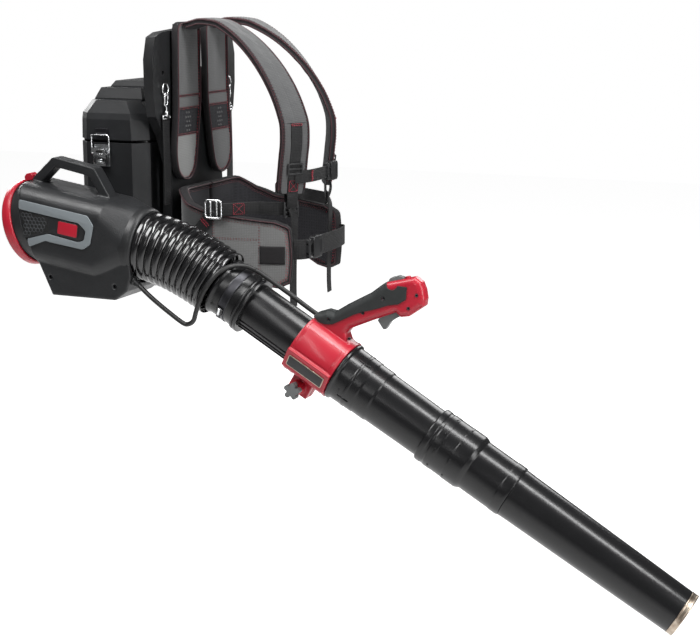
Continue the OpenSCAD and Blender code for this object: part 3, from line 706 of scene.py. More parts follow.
# The beam runs along the tube, for the long highlight on it
BEAM_AT, ABOVE = on_tube(420, 0), Vector((-0.13, -0.5, 0.857))
along = TUBE.to_3x3() @ Z
beam = softbox("beam", BEAM_AT + ABOVE * 1.5, BEAM_AT, 0.22, 1.5, 26)
beam.rotation_quaternion = placed(BEAM_AT, along.cross(ABOVE), along, ABOVE).to_quaternion()

CAMERA_AT, CAMERA_AHEAD = (-2.7454, -1.5070, 0.5701), Vector((0.9004, 0.3822, -0.2079))
FOCAL_LENGTH, SENSOR_WIDTH, NEAREST, FARTHEST = 80.0, 36.0, 0.1, 40

lens = bpy.data.cameras.new("camera")
lens.lens, lens.sensor_width = FOCAL_LENGTH, SENSOR_WIDTH
lens.clip_start, lens.clip_end = NEAREST, FARTHEST
camera = linked("camera", lens)
camera.location = CAMERA_AT
camera.rotation_mode = "QUATERNION"
camera.rotation_quaternion = CAMERA_AHEAD.to_track_quat("-Z", "Y")
scene.camera = camera


# ---- Bellows ----

END_SLOPE, RIDGES = 1.02, 12
BELLOWS_LENGTH = (MID - NECK).length + (CUFF - MID).length
REAR_PULL = FAN_AXIS * BELLOWS_LENGTH * END_SLOPE
FRONT_PULL = FWD * BELLOWS_LENGTH * END_SLOPE
NECK_COLLAR = [(60, -26), (71.2, -26), (71.6, -20), (71.2, -4), (69, 1.5), (66, 4), (60, 4)]


def bellows_centre(t):
    """Point on the centre line, from the neck at 0 to the cuff at 1."""
    h00, h10 = 2 * t ** 3 - 3 * t ** 2 + 1, t ** 3 - 2 * t ** 2 + t
    h01, h11 = -2 * t ** 3 + 3 * t ** 2, t ** 3 - t ** 2
    return NECK * h00 + REAR_PULL * h10 + CUFF * h01 + FRONT_PULL * h11


def bellows_half(t0, t1, rows=150, valley=58.6, ridge=7.0):
    """A length of the hose. Its ridges close up towards the cuff."""
    rings = []
    for i in range(rows + 1):
        t = t0 + (t1 - t0) * i / rows
        ahead = bellows_centre(min(t + 0.01, 1)) - bellows_centre(max(t - 0.01, 0))
        place = basis(bellows_centre(t), ahead)
        phase = RIDGES * (0.82 * t + 0.18 * t * t) % 1.0
        bulge = abs(math.sin(math.pi * phase)) ** 0.55 * (0.93 + 0.07 * abs(math.sin(math.pi * phase * 2)))
        rings.append([place @ Vector((x * MM, y * MM, 0)) for x, y in circle(valley + ridge * bulge, 112)])
    return skin(rings, "gloss")


bent("bellows_hose_rear", bellows_half(0.03, 0.5), "pack", "swivel", NECK, MID, "bellows_plastic",
     "bellows_rear")
bent("bellows_hose_front", bellows_half(0.5, 0.985), "swivel", "tube", MID, CUFF, "bellows_plastic",
     "bellows_front", "swivel_ring")
on_pack("neck_collar", lathe(NECK_COLLAR, FAN, "shell", r=2), "black_shell")


# ---- Cuff and tubes ----

CUFF_BODY = [(46.1, -62), (44, -62), (44, -72), (55.6, -72), (56.2, -67), (53.2, -61.5), (52.6, -47),
             (53, -46), (53, -30), (52.6, -29), (53.4, -15), (56.5, -13.5), (56.5, -9.2), (54, -8.4),
             (54, -6.8), (56.5, -6), (56.5, 0), (46.1, 0)]
CLAMP_BAND = [(53.0, -46), (54.3, -46), (54.7, -45), (54.2, -44), (54.2, -32), (54.7, -31), (54.3, -30),
              (53.0, -30)]
CLAMP_AT, CLAMP_MID = 206, -38
CONTROL_TUBE = [(43.8, -61.5), (46, -61.5), (46, 255), (43.8, 255)]
FRONT_TUBE = [(46.4, 207), (55.4, 207), (56.5, 208.2), (56.5, 211.6), (53.4, 214.5), (52.8, 217), (52.4, 238),
              (53.0, 239), (53.0, 243), (52.2, 244), (52, 260), (50.9, 263), (50.8, 288), (49.2, 291.5),
              (47.7, 400), (47.6, 445), (45.4, 445)]
EXTENSION = [(47.9, 403), (51.6, 403), (53, 405.4), (53, 414.6), (52.0, 416), (52.0, 421), (53, 422.4),
             (53, 436), (52.5, 437), (52.5, 461), (53, 462), (53, 490), (50.2, 496.5), (48.5, 499),
             (48.3, 560), (49.0, 562), (49.0, 577), (48.2, 580.8), (46.4, 581)]
NOZZLE = [(45.8, 546), (45.8, 581.4), (47.0, 581.6), (47.0, 584), (46.4, 600), (41.3, 926.8), (39.5, 927),
          (39.2, 938.4), (38.8, 927), (44, 586), (43.7, 546)]
NOZZLE_RING = [(40.6, 927.3), (41.8, 927.3), (42.0, 929), (41.5, 930), (41.5, 935.5), (42.0, 937),
               (41.7, 939.2), (40.4, 939.3), (39.4, 937), (39.4, 930)]


def around(degrees, out, along, y=0, about=TUBE):
    """Frame on a round part: x out of it, y round it and z along it."""
    return about @ turned(degrees) @ move(out, y, along)


piece("cuff_body", lathe(CUFF_BODY, TUBE, "tube", r=1.4), "tube", "tube_plastic", "cuff")

barrel = around(CLAMP_AT, 58, CLAMP_MID) @ turned(90, "X")
clamp = [lathe(CLAMP_BAND, TUBE, "screw", r=0.4),
         block((4.5, 15, 13), around(CLAMP_AT, 56, CLAMP_MID), "tube", 1.0),
         block((2.0, 24, 9), around(CLAMP_AT, 55.2, CLAMP_MID, 6), "screw", 0.5),
         lathe([(0.1, -8), (2.6, -8), (2.6, 8), (0.1, 8)], barrel, "chrome", 24, 0.5)]
piece("cuff_band_clamp", clamp, "tube", "tube_plastic", "cuff_clamp")

control = [lathe(CONTROL_TUBE, TUBE, "tube", 160, 0.5)]
for a in (205, 217, 229):
    control.append(block((3.0, 2.6, 199), around(a, 46.5, 100.5), "tube", 0.7))
piece("control_tube_body", control, "tube", "tube_plastic", "control_tube")

front = [lathe(FRONT_TUBE, TUBE, "tube", 160, 0.9)]
for a in range(20, 380, 90):
    front.append(block((2.4, 15, 3), around(a, 52.4, 228.5), "tube", 0.7))
    front.append(block((2.4, 3, 26), around(a, 52.2, 240, 7.5), "tube", 0.7))
piece("front_tube_body", front, "front_tube", "tube_plastic", "front_tube")

extension = [lathe(EXTENSION, TUBE, "tube", 160, 0.9)]
for a in range(0, 360, 45):
    for s in (432.5, 464.5):
        extension.append(block((2.0, 12, 3), around(a, 53, s), "tube", 0.6))
piece("extension_tube_body", extension, "nozzle", "tube_plastic", "extension_tube")
piece("nozzle_body", lathe(NOZZLE, TUBE, "tube", 160, 0.7), "nozzle", "tube_plastic", "nozzle")
piece("nozzle_metal_ring", lathe(NOZZLE_RING, TUBE, "tip", 160, 0.5, True), "nozzle", "nozzle_metal",
      "nozzle_ring")


# ---- Cable ----

LEAD = points([(-283, -20, 40), (-283, -32, 33), (-287, -44, 25), (-291, -66, 10), (-293, -95, -9)])
WRAP = [on_tube(s, h, x) for x, h, s in
        ((-60, -83, -88), (-60, -79, -76), (-62, -66, -69), (-66, -47, -71), (-69, -24, -74), (-66, 4, -76),
         (-54, 34, -74), (-36, 52, -66), (-14, 61, -50), (-2, 62.4, -28))]
RUN = [on_tube(s, h) for s, h in ((0, 62.6), (30, 62.4), (60, 62), (92, 61), (120, 61))]
CABLE = resample(spline(LEAD + WRAP + RUN, 12), 0.003)
CABLE_SIDES, CABLE_R = rope_sides(CABLE), 4.4
NUT = [(3.9, -6), (8.2, -6), (8.2, 4), (6.6, 6), (6.4, 7), (5.2, 16), (4.2, 18), (3.8, 18)]
NUT_FLUTES = 14


def nearest_on_cable(p):
    return min(range(len(CABLE)), key=lambda i: (CABLE[i] - p).length)


def cable_part(start, end):
    return sweep(CABLE[start:end], CABLE_SIDES[start:end], circle(CABLE_R), "cable")


to_loop, to_front = nearest_on_cable(LEAD[-1]), nearest_on_cable(WRAP[-1])
bent("control_cable_rear", cable_part(0, to_loop + 1), "pack", "swivel", LEAD[1], LEAD[-1], "soft_rubber",
     "cable_rear")
bent("control_cable_loop", cable_part(to_loop, to_front + 1), "swivel", "tube", LEAD[-1], WRAP[1],
     "soft_rubber", "cable_middle")
bent("control_cable_front", cable_part(to_front, len(CABLE)), "tube", "handle", WRAP[-1], on_tube(100, 61),
     "soft_rubber", "cable_front")

boot_dir = (LEAD[2] - LEAD[0]).normalized()
BOOT = basis(LEAD[0] + boot_dir * 0.004, boot_dir)
nut = [lathe(NUT, BOOT, "shell", 40, 0.6)]
for k in range(NUT_FLUTES):
    nut.append(block((1.4, 1.5, 9), around(k * 360 / NUT_FLUTES, 8.3, -1, about=BOOT), "shell", 0.4))
on_pack("cable_strain_relief", nut, "black_shell")


# ---- Handle ----

# The handle's outline as along the tube, up from its axis
GRIP = [(114, 44), (114, 66), (128, 82), (142, 87), (157, 115), (183, 158), (192, 180), (197, 192),
        (235, 229), (250, 228), (262, 219), (272, 207), (277, 195), (262, 162), (250, 152), (238, 154),
        (214, 123), (182, 80), (180, 68), (188, 58), (205, 53), (205, 44)]
GRIP_HALF, COVER_HALF = 15.0, 16.2
CLAMP_R = 57
CLAMP_BANDS = ((112, 428, 113.2, 119, 0.9), (112, 428, 200, 205.8, 0.9), (128, 172, 123, 196, 0.7),
               (224, 252, 123, 132, 0.7), (224, 252, 178, 196, 0.7))
SCREWS = ((140, 72), (188, 120), (207, 165), (256, 205), (255, 176), (190, 64))
SCREW_HEAD = [(1.1, 0.2), (1.3, 1.4), (2.2, 2.2), (2.8, 1.8), (2.9, 0.4), (2.9, -2)]
SPRING = TUBE @ move(0, 147.5, 213) @ turned(32.7, "X")
COILS, COIL_STEPS, COIL_R, COIL_PITCH = 6, 24, 2.5, 1.62


def to_line(pts, a, b):
    """Distance of each point from the line piece a to b."""
    d = b - a
    t = np.clip(((pts - a) @ d) / max(d @ d, 1e-12), 0, 1)
    return np.linalg.norm(pts - (a + t[:, None] * d), axis=1)


def inside_depth(pts, outline):
    """Distance inside an outline for each point, negative outside."""
    corners = np.array(outline, float)
    best = np.full(len(pts), 1e9)
    within = np.zeros(len(pts), bool)
    for a, b in zip(np.roll(corners, 1, 0), corners):
        best = np.minimum(best, to_line(pts, a, b))
        crosses = (a[1] > pts[:, 1]) != (b[1] > pts[:, 1])
        x = a[0] + (pts[:, 1] - a[1]) * (b[0] - a[0]) / (b[1] - a[1] or 1e-9)
        within ^= crosses & (pts[:, 0] < x)
    return np.where(within, best, -best)


def round_grip(ob, half, radius=12.0, low=58.0, high=72.0):
    """Rounds the grip's flat sides into an oval, more and more from low to high mm above the tube's axis."""
    ob.data.transform(TUBE.inverted())
    co = get_points(ob.data)
    side_view = np.stack([co[:, 2], co[:, 1]], 1) / MM
    depth = np.clip(inside_depth(side_view, GRIP), 0, radius) / radius
    oval = half - radius * 0.8 + radius * 0.8 * np.sqrt(np.clip(1 - (1 - depth) ** 2, 0, 1))
    share = np.clip((side_view[:, 1] - low) / (high - low), 0, 1)
    co[:, 0] *= 1 + share * (oval / half - 1)
    set_points(ob.data, co)
    ob.data.transform(TUBE)
    ob.data.update()
    return ob


def arc_band(a0, a1, s0, s1, thick, steps=48):
    """A raised band round the clamp, between two angles and two places along it."""
    foot, top = CLAMP_R - 0.8, CLAMP_R + thick
    section = rounded([(foot, s0), (top, s0), (top, s1), (foot, s1)], min(thick, 1.0), 3, True)
    rings = []
    for i in range(steps + 1):
        turn = TUBE @ turned(a0 + (a1 - a0) * i / steps)
        rings.append([turn @ Vector((r * MM, 0, s * MM)) for r, s in section])
    ob = skin(rings, "red", cap=True)
    ob.data.set_sharp_from_angle(angle=math.radians(50))
    return ob


shells = remeshed(("handle_shell_right", "handle_shell_left"), "red", 1.0, 5)
piece("handle_shells", round_grip(shells, GRIP_HALF), "handle", "red_plastic", "handle_shell_right",
      "handle_shell_left")
cover = remeshed(("grip_cover",), "rubber", 0.7, 3)
piece("grip_rubber_cover", round_grip(cover, COVER_HALF), "handle", "grip_rubber", "grip_cover")
piece("clamp_raised_bands", [arc_band(*band) for band in CLAMP_BANDS], "handle", "red_plastic")

plate = around(198, 60.1, 160) @ turned(90, "Y")
badge = [slab(rounded_box(78, 24, 3), 1.5, plate, "tip", 0.4),
         slab(rounded_box(75, 21, 2), 1.7, plate, "shell", 0.2)]
piece("handle_badge_plate", badge, "handle", "tube_plastic", "handle_badge")

heads = []
for s, h in SCREWS:
    at = TUBE @ move(-13.8, h, s) @ turned(-90, "Y")
    heads.append(lathe(SCREW_HEAD, at, "screw", 28, 0.3))
    # A near-black disc on each screw head is painted shade for its socket
    heads.append(lathe([(0.05, 0.3), (1.2, 0.3)], at, "dark", 6, raw=True))
piece("handle_screw_heads", heads, "handle", "steel", "handle_screws")

for node, mat, slot, width in (("trigger", "grey", "grey_plastic", 1.3),
                               ("cruise_lever", "grey", "grey_plastic", 1.0),
                               ("boost_button", "red", "red_plastic", 1.0),
                               ("star_knob", "grey", "grey_plastic", 1.3)):
    piece(node + "_moulded", bevelled(node, mat, width), node, slot, node)

wire = []
for k in range(COIL_STEPS * COILS + 1):
    p = Vector((COIL_R, 0, 0.6 + COIL_PITCH * k / COIL_STEPS)) * MM
    wire.append(SPRING @ turned(k * 360 / COIL_STEPS) @ p)
coil = piece("trigger_spring_coil", rope(wire, 0.45, "steel", 10), "handle", "steel", "trigger_spring")
tuple(SPRING.translation)
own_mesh(coil)

ribs = []
for k in range(4):
    at = TUBE @ move(0, 205 + k * 2.6, 204.5 + k * 2.4) @ turned(-42, "X")
    ribs.append(block((9, 1.0, 1.0), at, "grey", 0.3))
piece("cruise_lever_ribs", ribs, "cruise_lever", "grey_plastic")


# ---- Housing ----

# Outlines on the near side as forward, up
TRIM = [(203, 181), (54, 158), (42, 140), (50, 104), (66, 94), (140, 104), (147, 106), (184, 92), (188, 107),
        (142, 119), (76, 107), (63, 111), (58, 129), (73, 143), (204, 163)]
RECESS = [(203, 166), (76, 146), (61, 131), (66, 113), (78, 109), (142, 121), (190, 109), (199, 108)]
GRILLE = [(200, 160), (142, 151), (140, 124), (188, 113), (198, 112)]
CELL = [(3.35, 0), (3.5, 1.0), (4.3, 1.0), (4.5, 0)]
CELL_REACH = np.array([(3.5, 0), (-3.5, 0), (0, 3.5), (0, -3.5)])
CAGE_TUBE = [(74, -34), (78, -34), (78, -9), (77.6, -5), (74, -5)]
CAGE_FLANGE = [(68, -9.5), (78, -9.5), (78, -5), (74, -4.5), (74, -0.4), (68, -0.4)]
CAGE_SPOKE = ((19, -50), (40, -50), (59, -50), (68, -44), (76, -33.5))
INTAKE_RIM = [(78.2, -24), (82, -25.5), (83, -32), (82, -42), (76, -48), (74, -45), (78, -39)]
SIDE_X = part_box("trim_panel")[1].x


def on_side(y=0.0, z=0.0):
    """Frame on the housing's near side: x backwards along -Y, y up and z out."""
    return placed(Vector((SIDE_X, y, z)), -Y, Z, -X)


def side_plate(outline, r, steps, depth, mat, bevel):
    corners = [(-y, z) for y, z in outline]
    return slab(rounded(corners, r, steps, True), depth, on_side(), mat, bevel)


shell = remeshed(("housing_right", "housing_left"), "housing", 1.6, 8)
on_pack("fan_housing_shell", shell, "charcoal_shell", "housing_right", "housing_left")
on_pack("side_trim", side_plate(TRIM, 4, 4, 2.8, "trim", 0.8), "trim_plastic", "trim_panel")
on_pack("side_recess", side_plate(RECESS, 3, 3, 0.5, "housing", 0.2), "charcoal_shell")

# The grille's near-black backing plate is painted shade for the hollow behind the cells
cells = [side_plate(GRILLE, 3, 3, 0.9, "dark", 0.2)]
for row in range(12):
    for col in range(14):
        y, z = 208 - col * 8.0 - row % 2 * 4.0, 104 + row * 6.9
        if (inside_depth(np.array([y, z]) + CELL_REACH, GRILLE) > 0).all():
            cells.append(lathe(CELL, on_side() @ move(-y, z, 0.6) @ turned(30), "grille", 6, raw=True))
on_pack("side_grille", cells, "black_shell")

badge_lo, badge_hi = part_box("housing_badge")
badge_mid = (badge_lo + badge_hi) / 2
at = on_side(badge_mid.y, badge_mid.z) @ turned(-8)
badge = [slab(rounded_box(46, 28, 4), 1.9, at, "shell", 0.5),
         slab(rounded_box(42, 24, 3), 2.5, at, "red", 0.5)]
on_pack("side_badge", badge, "red_plastic", "housing_badge")

cage = [lathe(CAGE_TUBE, INTAKE, "shell"), lathe(CAGE_FLANGE, INTAKE, "shell", r=0.6)]
for r in (20, 38, 56):
    hoop = [(r - 1.5, -52), (r + 1.5, -52), (r + 1.5, -48), (r - 1.5, -48)]
    cage.append(lathe(hoop, INTAKE, "shell", 96, 0.7, True))
for a in range(0, 360, 30):
    turn = INTAKE @ turned(a)
    spoke = spline([turn @ Vector((r * MM, 0, z * MM)) for r, z in CAGE_SPOKE], 6)
    cage.append(strap(spoke, turn.to_3x3() @ Y, 2.4, 4, "shell"))
piece("intake_guard_cage", cage, "intake_guard", "black_shell", "intake_cage")
piece("intake_guard_rim", lathe(INTAKE_RIM, INTAKE, "red", 144, 1.6, True), "intake_guard", "red_plastic",
      "intake_rim")
piece("intake_guard_tab", bevelled("guard_tab", "red", 1.4), "guard_tab", "red_plastic", "guard_tab")


# ---- Battery box, frame and other hard parts ----

CREASE, LEAN, LID_SIDE = 0.322, 0.24, 0.130
LEVER_MID = (0.111, 0.251)
TONGUE = [(-13, 15), (13, 15), (13, -10), (8, -15.5), (-8, -15.5), (-13, -10)]
BAIL_BACK, BAIL_FRONT, BAIL_WIRE = 0.0916, 0.1304, 1.5


def lean_sides(bm):
    """Creases the lid's sides and leans the faces above the crease inwards."""
    merge_flats(bm)
    everything = bm.verts[:] + bm.edges[:] + bm.faces[:]
    bmesh.ops.bisect_plane(bm, geom=everything, plane_co=Z * CREASE, plane_no=Z)
    for v in bm.verts:
        if v.co.z > CREASE and abs(v.co.x) > LID_SIDE:
            v.co.x -= math.copysign((v.co.z - CREASE) * LEAN, v.co.x)


lid = bevelled("box_lid", "box", 1.6, 9, lean_sides)
piece("battery_lid_shell", lid, "lid", "black_shell", "box_lid")

face = facing(Vector((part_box("latch_lever")[0].x + 0.0006, *LEVER_MID)), -Y, Z)
lever = [bevelled("latch_lever", "chrome", 0.5),
         slab(rounded(TONGUE, 4, 4, True), 1.2, face @ move(z=-0.4), "chrome", 0.6)]
lever += [block((14, 1.6, 1.6), face @ move(0, y, 0.7), "chrome") for y in (-9.5, -5, 5.5)]
# The near-black plate on the lever is painted shade for its slot
lever.append(slab(rounded_box(15, 4.5, 2), 0.5, face @ move(0, 10.5, 0.6), "dark", 0.1))
piece("latch_lever_plate", lever, "latch_lever", "steel", "latch_lever")

for node, name, mat, slot, body, width in (
        ("battery_box", "battery_box_shell", "box", "charcoal_shell", "pack", 2.0),
        ("back_frame", "back_frame_panel", "shell", "black_shell", "pack", 2.0),
        ("base_tray", "base_tray_shell", "shell", "black_shell", "pack", 2.0),
        ("latch_bracket", "latch_bracket_plate", "steel", "steel", "pack", 0.4),
        ("lid_keeper", "lid_keeper_plate", "screw", "steel", "lid", 0.5),
        ("battery_right", "battery_pack_right", "shell", "black_shell", "battery_right", 2.0),
        ("battery_left", "battery_pack_left", "shell", "black_shell", "battery_left", 2.0)):
    piece(name, bevelled(node, mat, width), body, slot, node)

bail_lo, bail_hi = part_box("latch_bail")
x, low, high = (bail_lo.x + bail_hi.x) / 2, bail_lo.z + BAIL_WIRE * MM, bail_hi.z - BAIL_WIRE * MM
bail = rounded([(x, BAIL_BACK, low), (x, BAIL_BACK, high), (x, BAIL_FRONT, high), (x, BAIL_FRONT, low)],
               0.005, 6, True)
piece("latch_bail_wire", rope(resample(bail, 0.0012), BAIL_WIRE, "chrome", 14, True), "latch_bail",
      "bright_steel", "latch_bail")

# Sub-parts shown as their CAD solids
for node, mat in (("terminal_block", "shell"), ("lid_hinge_pin", "steel"), ("shell_screws", "screw"),
                  ("controller_board", "board"), ("stator", "shell"), ("shaft_bearings", "steel"),
                  ("lid_gasket", "cable"), ("impeller", "white"), ("rotor_shaft", "steel"),
                  ("clamp_nut", "steel")):
    mats = NODES[node].data.materials
    if not mats:
        mats.append(M[mat])
    for i in range(len(mats)):
        mats[i] = M[mat]


# ---- Harness: shoulder straps ----

STRAP_HALF, STRAP_THICK, STRAP_TAPER, STRAP_COLUMNS = 30.0, 7.3, 0.05, 22
STRAP_MATS = ("strap_grey", "bind", "strap_mesh")


def strap_line(sx):
    """Centre line of a shoulder strap and its across directions; sx is -1 on the wearer's right."""
    rows = [(57, y, 498 + 10 * math.sin(math.radians((-y - 30) * 1.8)), 0) for y in (-32, -50, -66)]
    for t in range(10, 83, 8):
        s, c = math.sin(math.radians(t)) ** 1.25, math.cos(math.radians(t)) ** 1.25
        rows.append((57 + 28 * s, -80 - 186 * s, 300 + 208 * c, 33 * s))
    rows += [(85, -254 - 12 * (z - 189) / 111, z, 33) for z in (285, 261, 237, 213, 189)]
    path = spline(points([row[:3] for row in rows], sx), 9)
    twist = [math.radians(a.x) for a in spline([(row[3], 0, 0) for row in rows], 9)]
    return path, [Vector((-math.cos(a), -sx * math.sin(a), 0)) for a in twist]


def outwards(path, sides):
    return [s.cross(t).normalized() for s, t in zip(sides, tangents(path))]


def offset_line(path, sides, u, v):
    """The path moved u mm across and v mm out, with the directions out of it."""
    out = outwards(path, sides)
    return [p + s.normalized() * u * MM + o * v * MM for p, s, o in zip(path, sides, out)], out


def padded_strip(path, sides, seed):
    """A wrinkled pad with bound edges and air mesh on the wearer's side."""
    columns = [math.cos(math.pi * k / STRAP_COLUMNS) for k in range(STRAP_COLUMNS + 1)]
    last = len(path) - 1

    def section(i, run):
        end = min(1.0, min(i, last - i) / last / STRAP_TAPER)
        w = STRAP_HALF * (0.86 + 0.14 * end ** 0.5)
        out = []
        for top in (1, -1):
            for k, u in enumerate(columns[::top]):
                wrinkle = noise.noise(Vector((u * 1.7 + seed, run * 38, top * 5.0))) * 1.3
                wrinkle += noise.noise(Vector((u * 4.0 - seed, run * 120, top * 9.0))) * 0.55
                puff = 1 - abs(u) ** 3.2
                swell = 0.26 * puff * (0.92 + 0.1 * math.sin(run * 55 + seed))
                edge = 1.0 if 0 < k < STRAP_COLUMNS else 0.975
                out.append((u * w * edge, top * (STRAP_THICK * (0.74 + swell) + wrinkle * puff)))
        return out

    slots = []
    for slot in (0, 2):
        for a, b in zip(columns, columns[1:]):
            slots.append(1 if abs(a + b) / 2 > 0.86 else slot)
        slots.append(1)
    return sweep(path, sides, section, STRAP_MATS, slots=slots)


def ladder(place, w, h, bars, t=3.0, rail=3.2):
    """A buckle frame: two rails and cross bars."""
    parts = [block((rail, h, t), place @ move(sx * (w - rail) / 2), "shell", 0.7) for sx, _ in SIDES]
    return parts + [block((w - 1, rail, t * 0.9), place @ move(0, y), "shell", 0.8) for y in bars]


for sx, tag in SIDES:
    path, sides = strap_line(sx)
    tan, out = tangents(path), outwards(path, sides)

    def first_below(z):
        return next(i for i, p in enumerate(path) if p.z < z and p.y < -0.2)

    on_pack("shoulder_strap_pad_" + tag, padded_strip(path, sides, 3.0 + sx), "grey_fabric",
            "shoulder_strap_" + tag)

    sewing = []
    for u, v, mat in ((-27.6, 6.0, "seam"), (27.6, 6.0, "seam"), (-24.6, 6.6, "piping"),
                      (24.6, 6.6, "piping")):
        line, normals = offset_line(path[3:-3], sides[3:-3], u, v)
        sewing.append(stitches(line, normals, mat, 3.6, 2.2, 0.42, 0.2))
    for u in (-29.6, 29.6):
        for v in (-3.6, 4.4):
            sewing.append(rope(offset_line(path[3:-3], sides[3:-3], u, v)[0], 1.1, "piping", 8))
    on_pack("strap_stitching_" + tag, sewing)

    top, foot = first_below(0.322), first_below(0.207)
    ridge = [path[top] + sides[top] * u * MM + out[top] * (7.6 - u * u * 0.0035) * MM
             for u in range(-27, 28, 3)]
    webbing = [strap(offset_line(path[top:], sides[top:], 0, 8.1)[0], sides[top:], 24, 1.7),
               bar_tack(path[top + 1] + out[top] * 0.0094, sides[top], tan[top], out[top], 23, 3, False),
               rope(ridge, 0.7, "bind", 8),
               bar_tack(path[foot] + out[foot] * 0.0094, sides[foot], tan[foot], out[foot], 19, 20)]
    on_pack("strap_webbing_" + tag, webbing)

    i = first_below(0.238)
    slide = facing(path[i] + out[i] * 0.0108, sides[i], tan[i])
    on_pack("strap_triglide_" + tag, ladder(slide, 33, 22, (-9.4, 0, 9.4)), "black_shell")
    lock = facing(Vector((sx * 0.085, -0.256, 0.158)), sides[-1], -Z)
    on_pack("strap_ladder_lock_" + tag, ladder(lock, 33, 30, (-13, -4, 5, 13.2), 4.0, 3.6), "black_shell")
    turns = [(path[-1], 4, 20), (path[-1], 9, -4), (lock.translation, 3, 8), (lock.translation, -3, 4),
             (path[-1], -2, 6)]
    fold = spline([p + out[-1] * v * MM + Z * up * MM for p, v, up in turns])
    on_pack("strap_end_loop_" + tag, strap(fold, sides[-1], 24, 1.7))
    tail = points([(85, -257, 160), (85, -262, 146), (85, -262.5, 120), (85, -260, 60), (85, -259.2, 0),
                   (85, -260.5, -31)], sx)
    on_pack("strap_tail_" + tag, strap(spline(tail, 10), Vector((-1, -0.1 * sx, 0)), t=1.8))


# ---- Harness: padded back panels ----

SINK, CLOTH_FRAMES = 0.0012, 20


def puffed(node, mat, voxel, hold, cap):
    """A CAD pad rebuilt as an even mesh and blown up as cloth, by at most cap mm. hold is 1 on its seams."""
    ob = remeshed((node,), mat, voxel, 2)
    rest = get_points(ob.data).astype(float)
    normals = np.array([v.normal[:] for v in ob.data.vertices])
    keep = np.clip(hold(rest), 0, 1)
    start = rest - normals * SINK
    set_points(ob.data, start)
    seam = ob.vertex_groups.new(name="seam")
    for i, held in enumerate(keep):
        if held > 0.01:
            seam.add([i], float(held), "REPLACE")
    s = ob.modifiers.new("cloth", "CLOTH").settings
    s.quality, s.mass, s.air_damping = 5, 0.3, 1.5
    s.tension_stiffness = s.compression_stiffness = 12
    s.shear_stiffness, s.bending_stiffness = 5, 0.6
    s.use_pressure, s.uniform_pressure_force = True, 4.0
    s.effector_weights.gravity = 0
    s.vertex_group_mass = "seam"
    for f in range(1, CLOTH_FRAMES + 1):
        scene.frame_set(f)
    applied(ob)
    scene.frame_set(1)
    travel = get_points(ob.data).astype(float) - start
    far = np.linalg.norm(travel, axis=1)
    shape = start + travel * np.minimum(1.0, cap * MM / np.maximum(far, 1e-9))[:, None]
    set_points(ob.data, shape)
    even = ob.modifiers.new("even", "SUBSURF")
    even.levels = even.render_levels = 1
    return applied(ob)


def paint(ob, mats, choose):
    """Gives each face the material that choose(centre, normal) numbers."""
    me = ob.data
    me.materials.clear()
    for m in mats:
        me.materials.append(M[m])
    me.polygons.foreach_set("material_index", [choose(p.center, p.normal) for p in me.polygons])
    me.shade_smooth()


def surface_tree(ob):
    return BVHTree.FromObject(ob, bpy.context.evaluated_depsgraph_get())


def near_lines(co, lines, reach):
    """How close points (a, b) are to line pieces: 1 on a line, 0 past reach."""
    best = np.full(len(co), 1e9)
    for a, b in lines:
        best = np.minimum(best, to_line(co, np.array(a) * MM, np.array(b) * MM))
    return np.clip(1 - best / (reach * MM), 0, 1)


# One back pad and half of the lumbar pad, as out from the middle, up
PAD = [(14, 504), (100, 504), (104, 344), (110, 300), (116, 258), (110, 224), (90, 206), (64, 204), (42, 222),
       (32, 262), (24, 310), (16, 350)]
PAD_ROWS = [((15, 366), (103, 366)), ((17, 342), (104, 342)), ((26, 292), (111, 292))]
PAD_LINES = [((62, 504), (62, 366)), ((75, 98), (75, 182)), ((0, 98), (75, 98)), ((0, 182), (75, 182)),
             ((0, 140), (75, 140)), ((26, 98), (26, 182))]
PAD_EDGE_Y, PAD_MIDDLE = -0.0215, (0.06, 0.36)


def pad_hold(co):
    across_up = np.stack([np.abs(co[:, 0]), co[:, 2]], 1)
    lines = list(zip(PAD[-1:] + PAD, PAD)) + PAD_ROWS + PAD_LINES
    return np.maximum(near_lines(across_up, lines, 7.0) ** 0.5, co[:, 1] > -0.0145)


def pad_paint(c, n):
    if c.z < 0.19:
        return 1
    if n.y > -0.2:
        return 3
    if c.z > 0.342:
        return 0
    if c.z > 0.292:
        return 1
    return 2 if c.x < 0 else 0


pads = puffed("back_pads", "pad_grey", 4.5, pad_hold, 8.0)
paint(pads, ("pad_grey", "pad_mesh", "pad_light", "foam"), pad_paint)
on_pack("back_pad_cushions", pads, "grey_fabric", "back_pads")
PAD_TREE = surface_tree(pads)


def on_pad(x, z, lift):
    hit = PAD_TREE.ray_cast(Vector((x, -0.2, z)), Y)[0]
    return (hit or Vector((x, -0.027, z))) - Y * lift


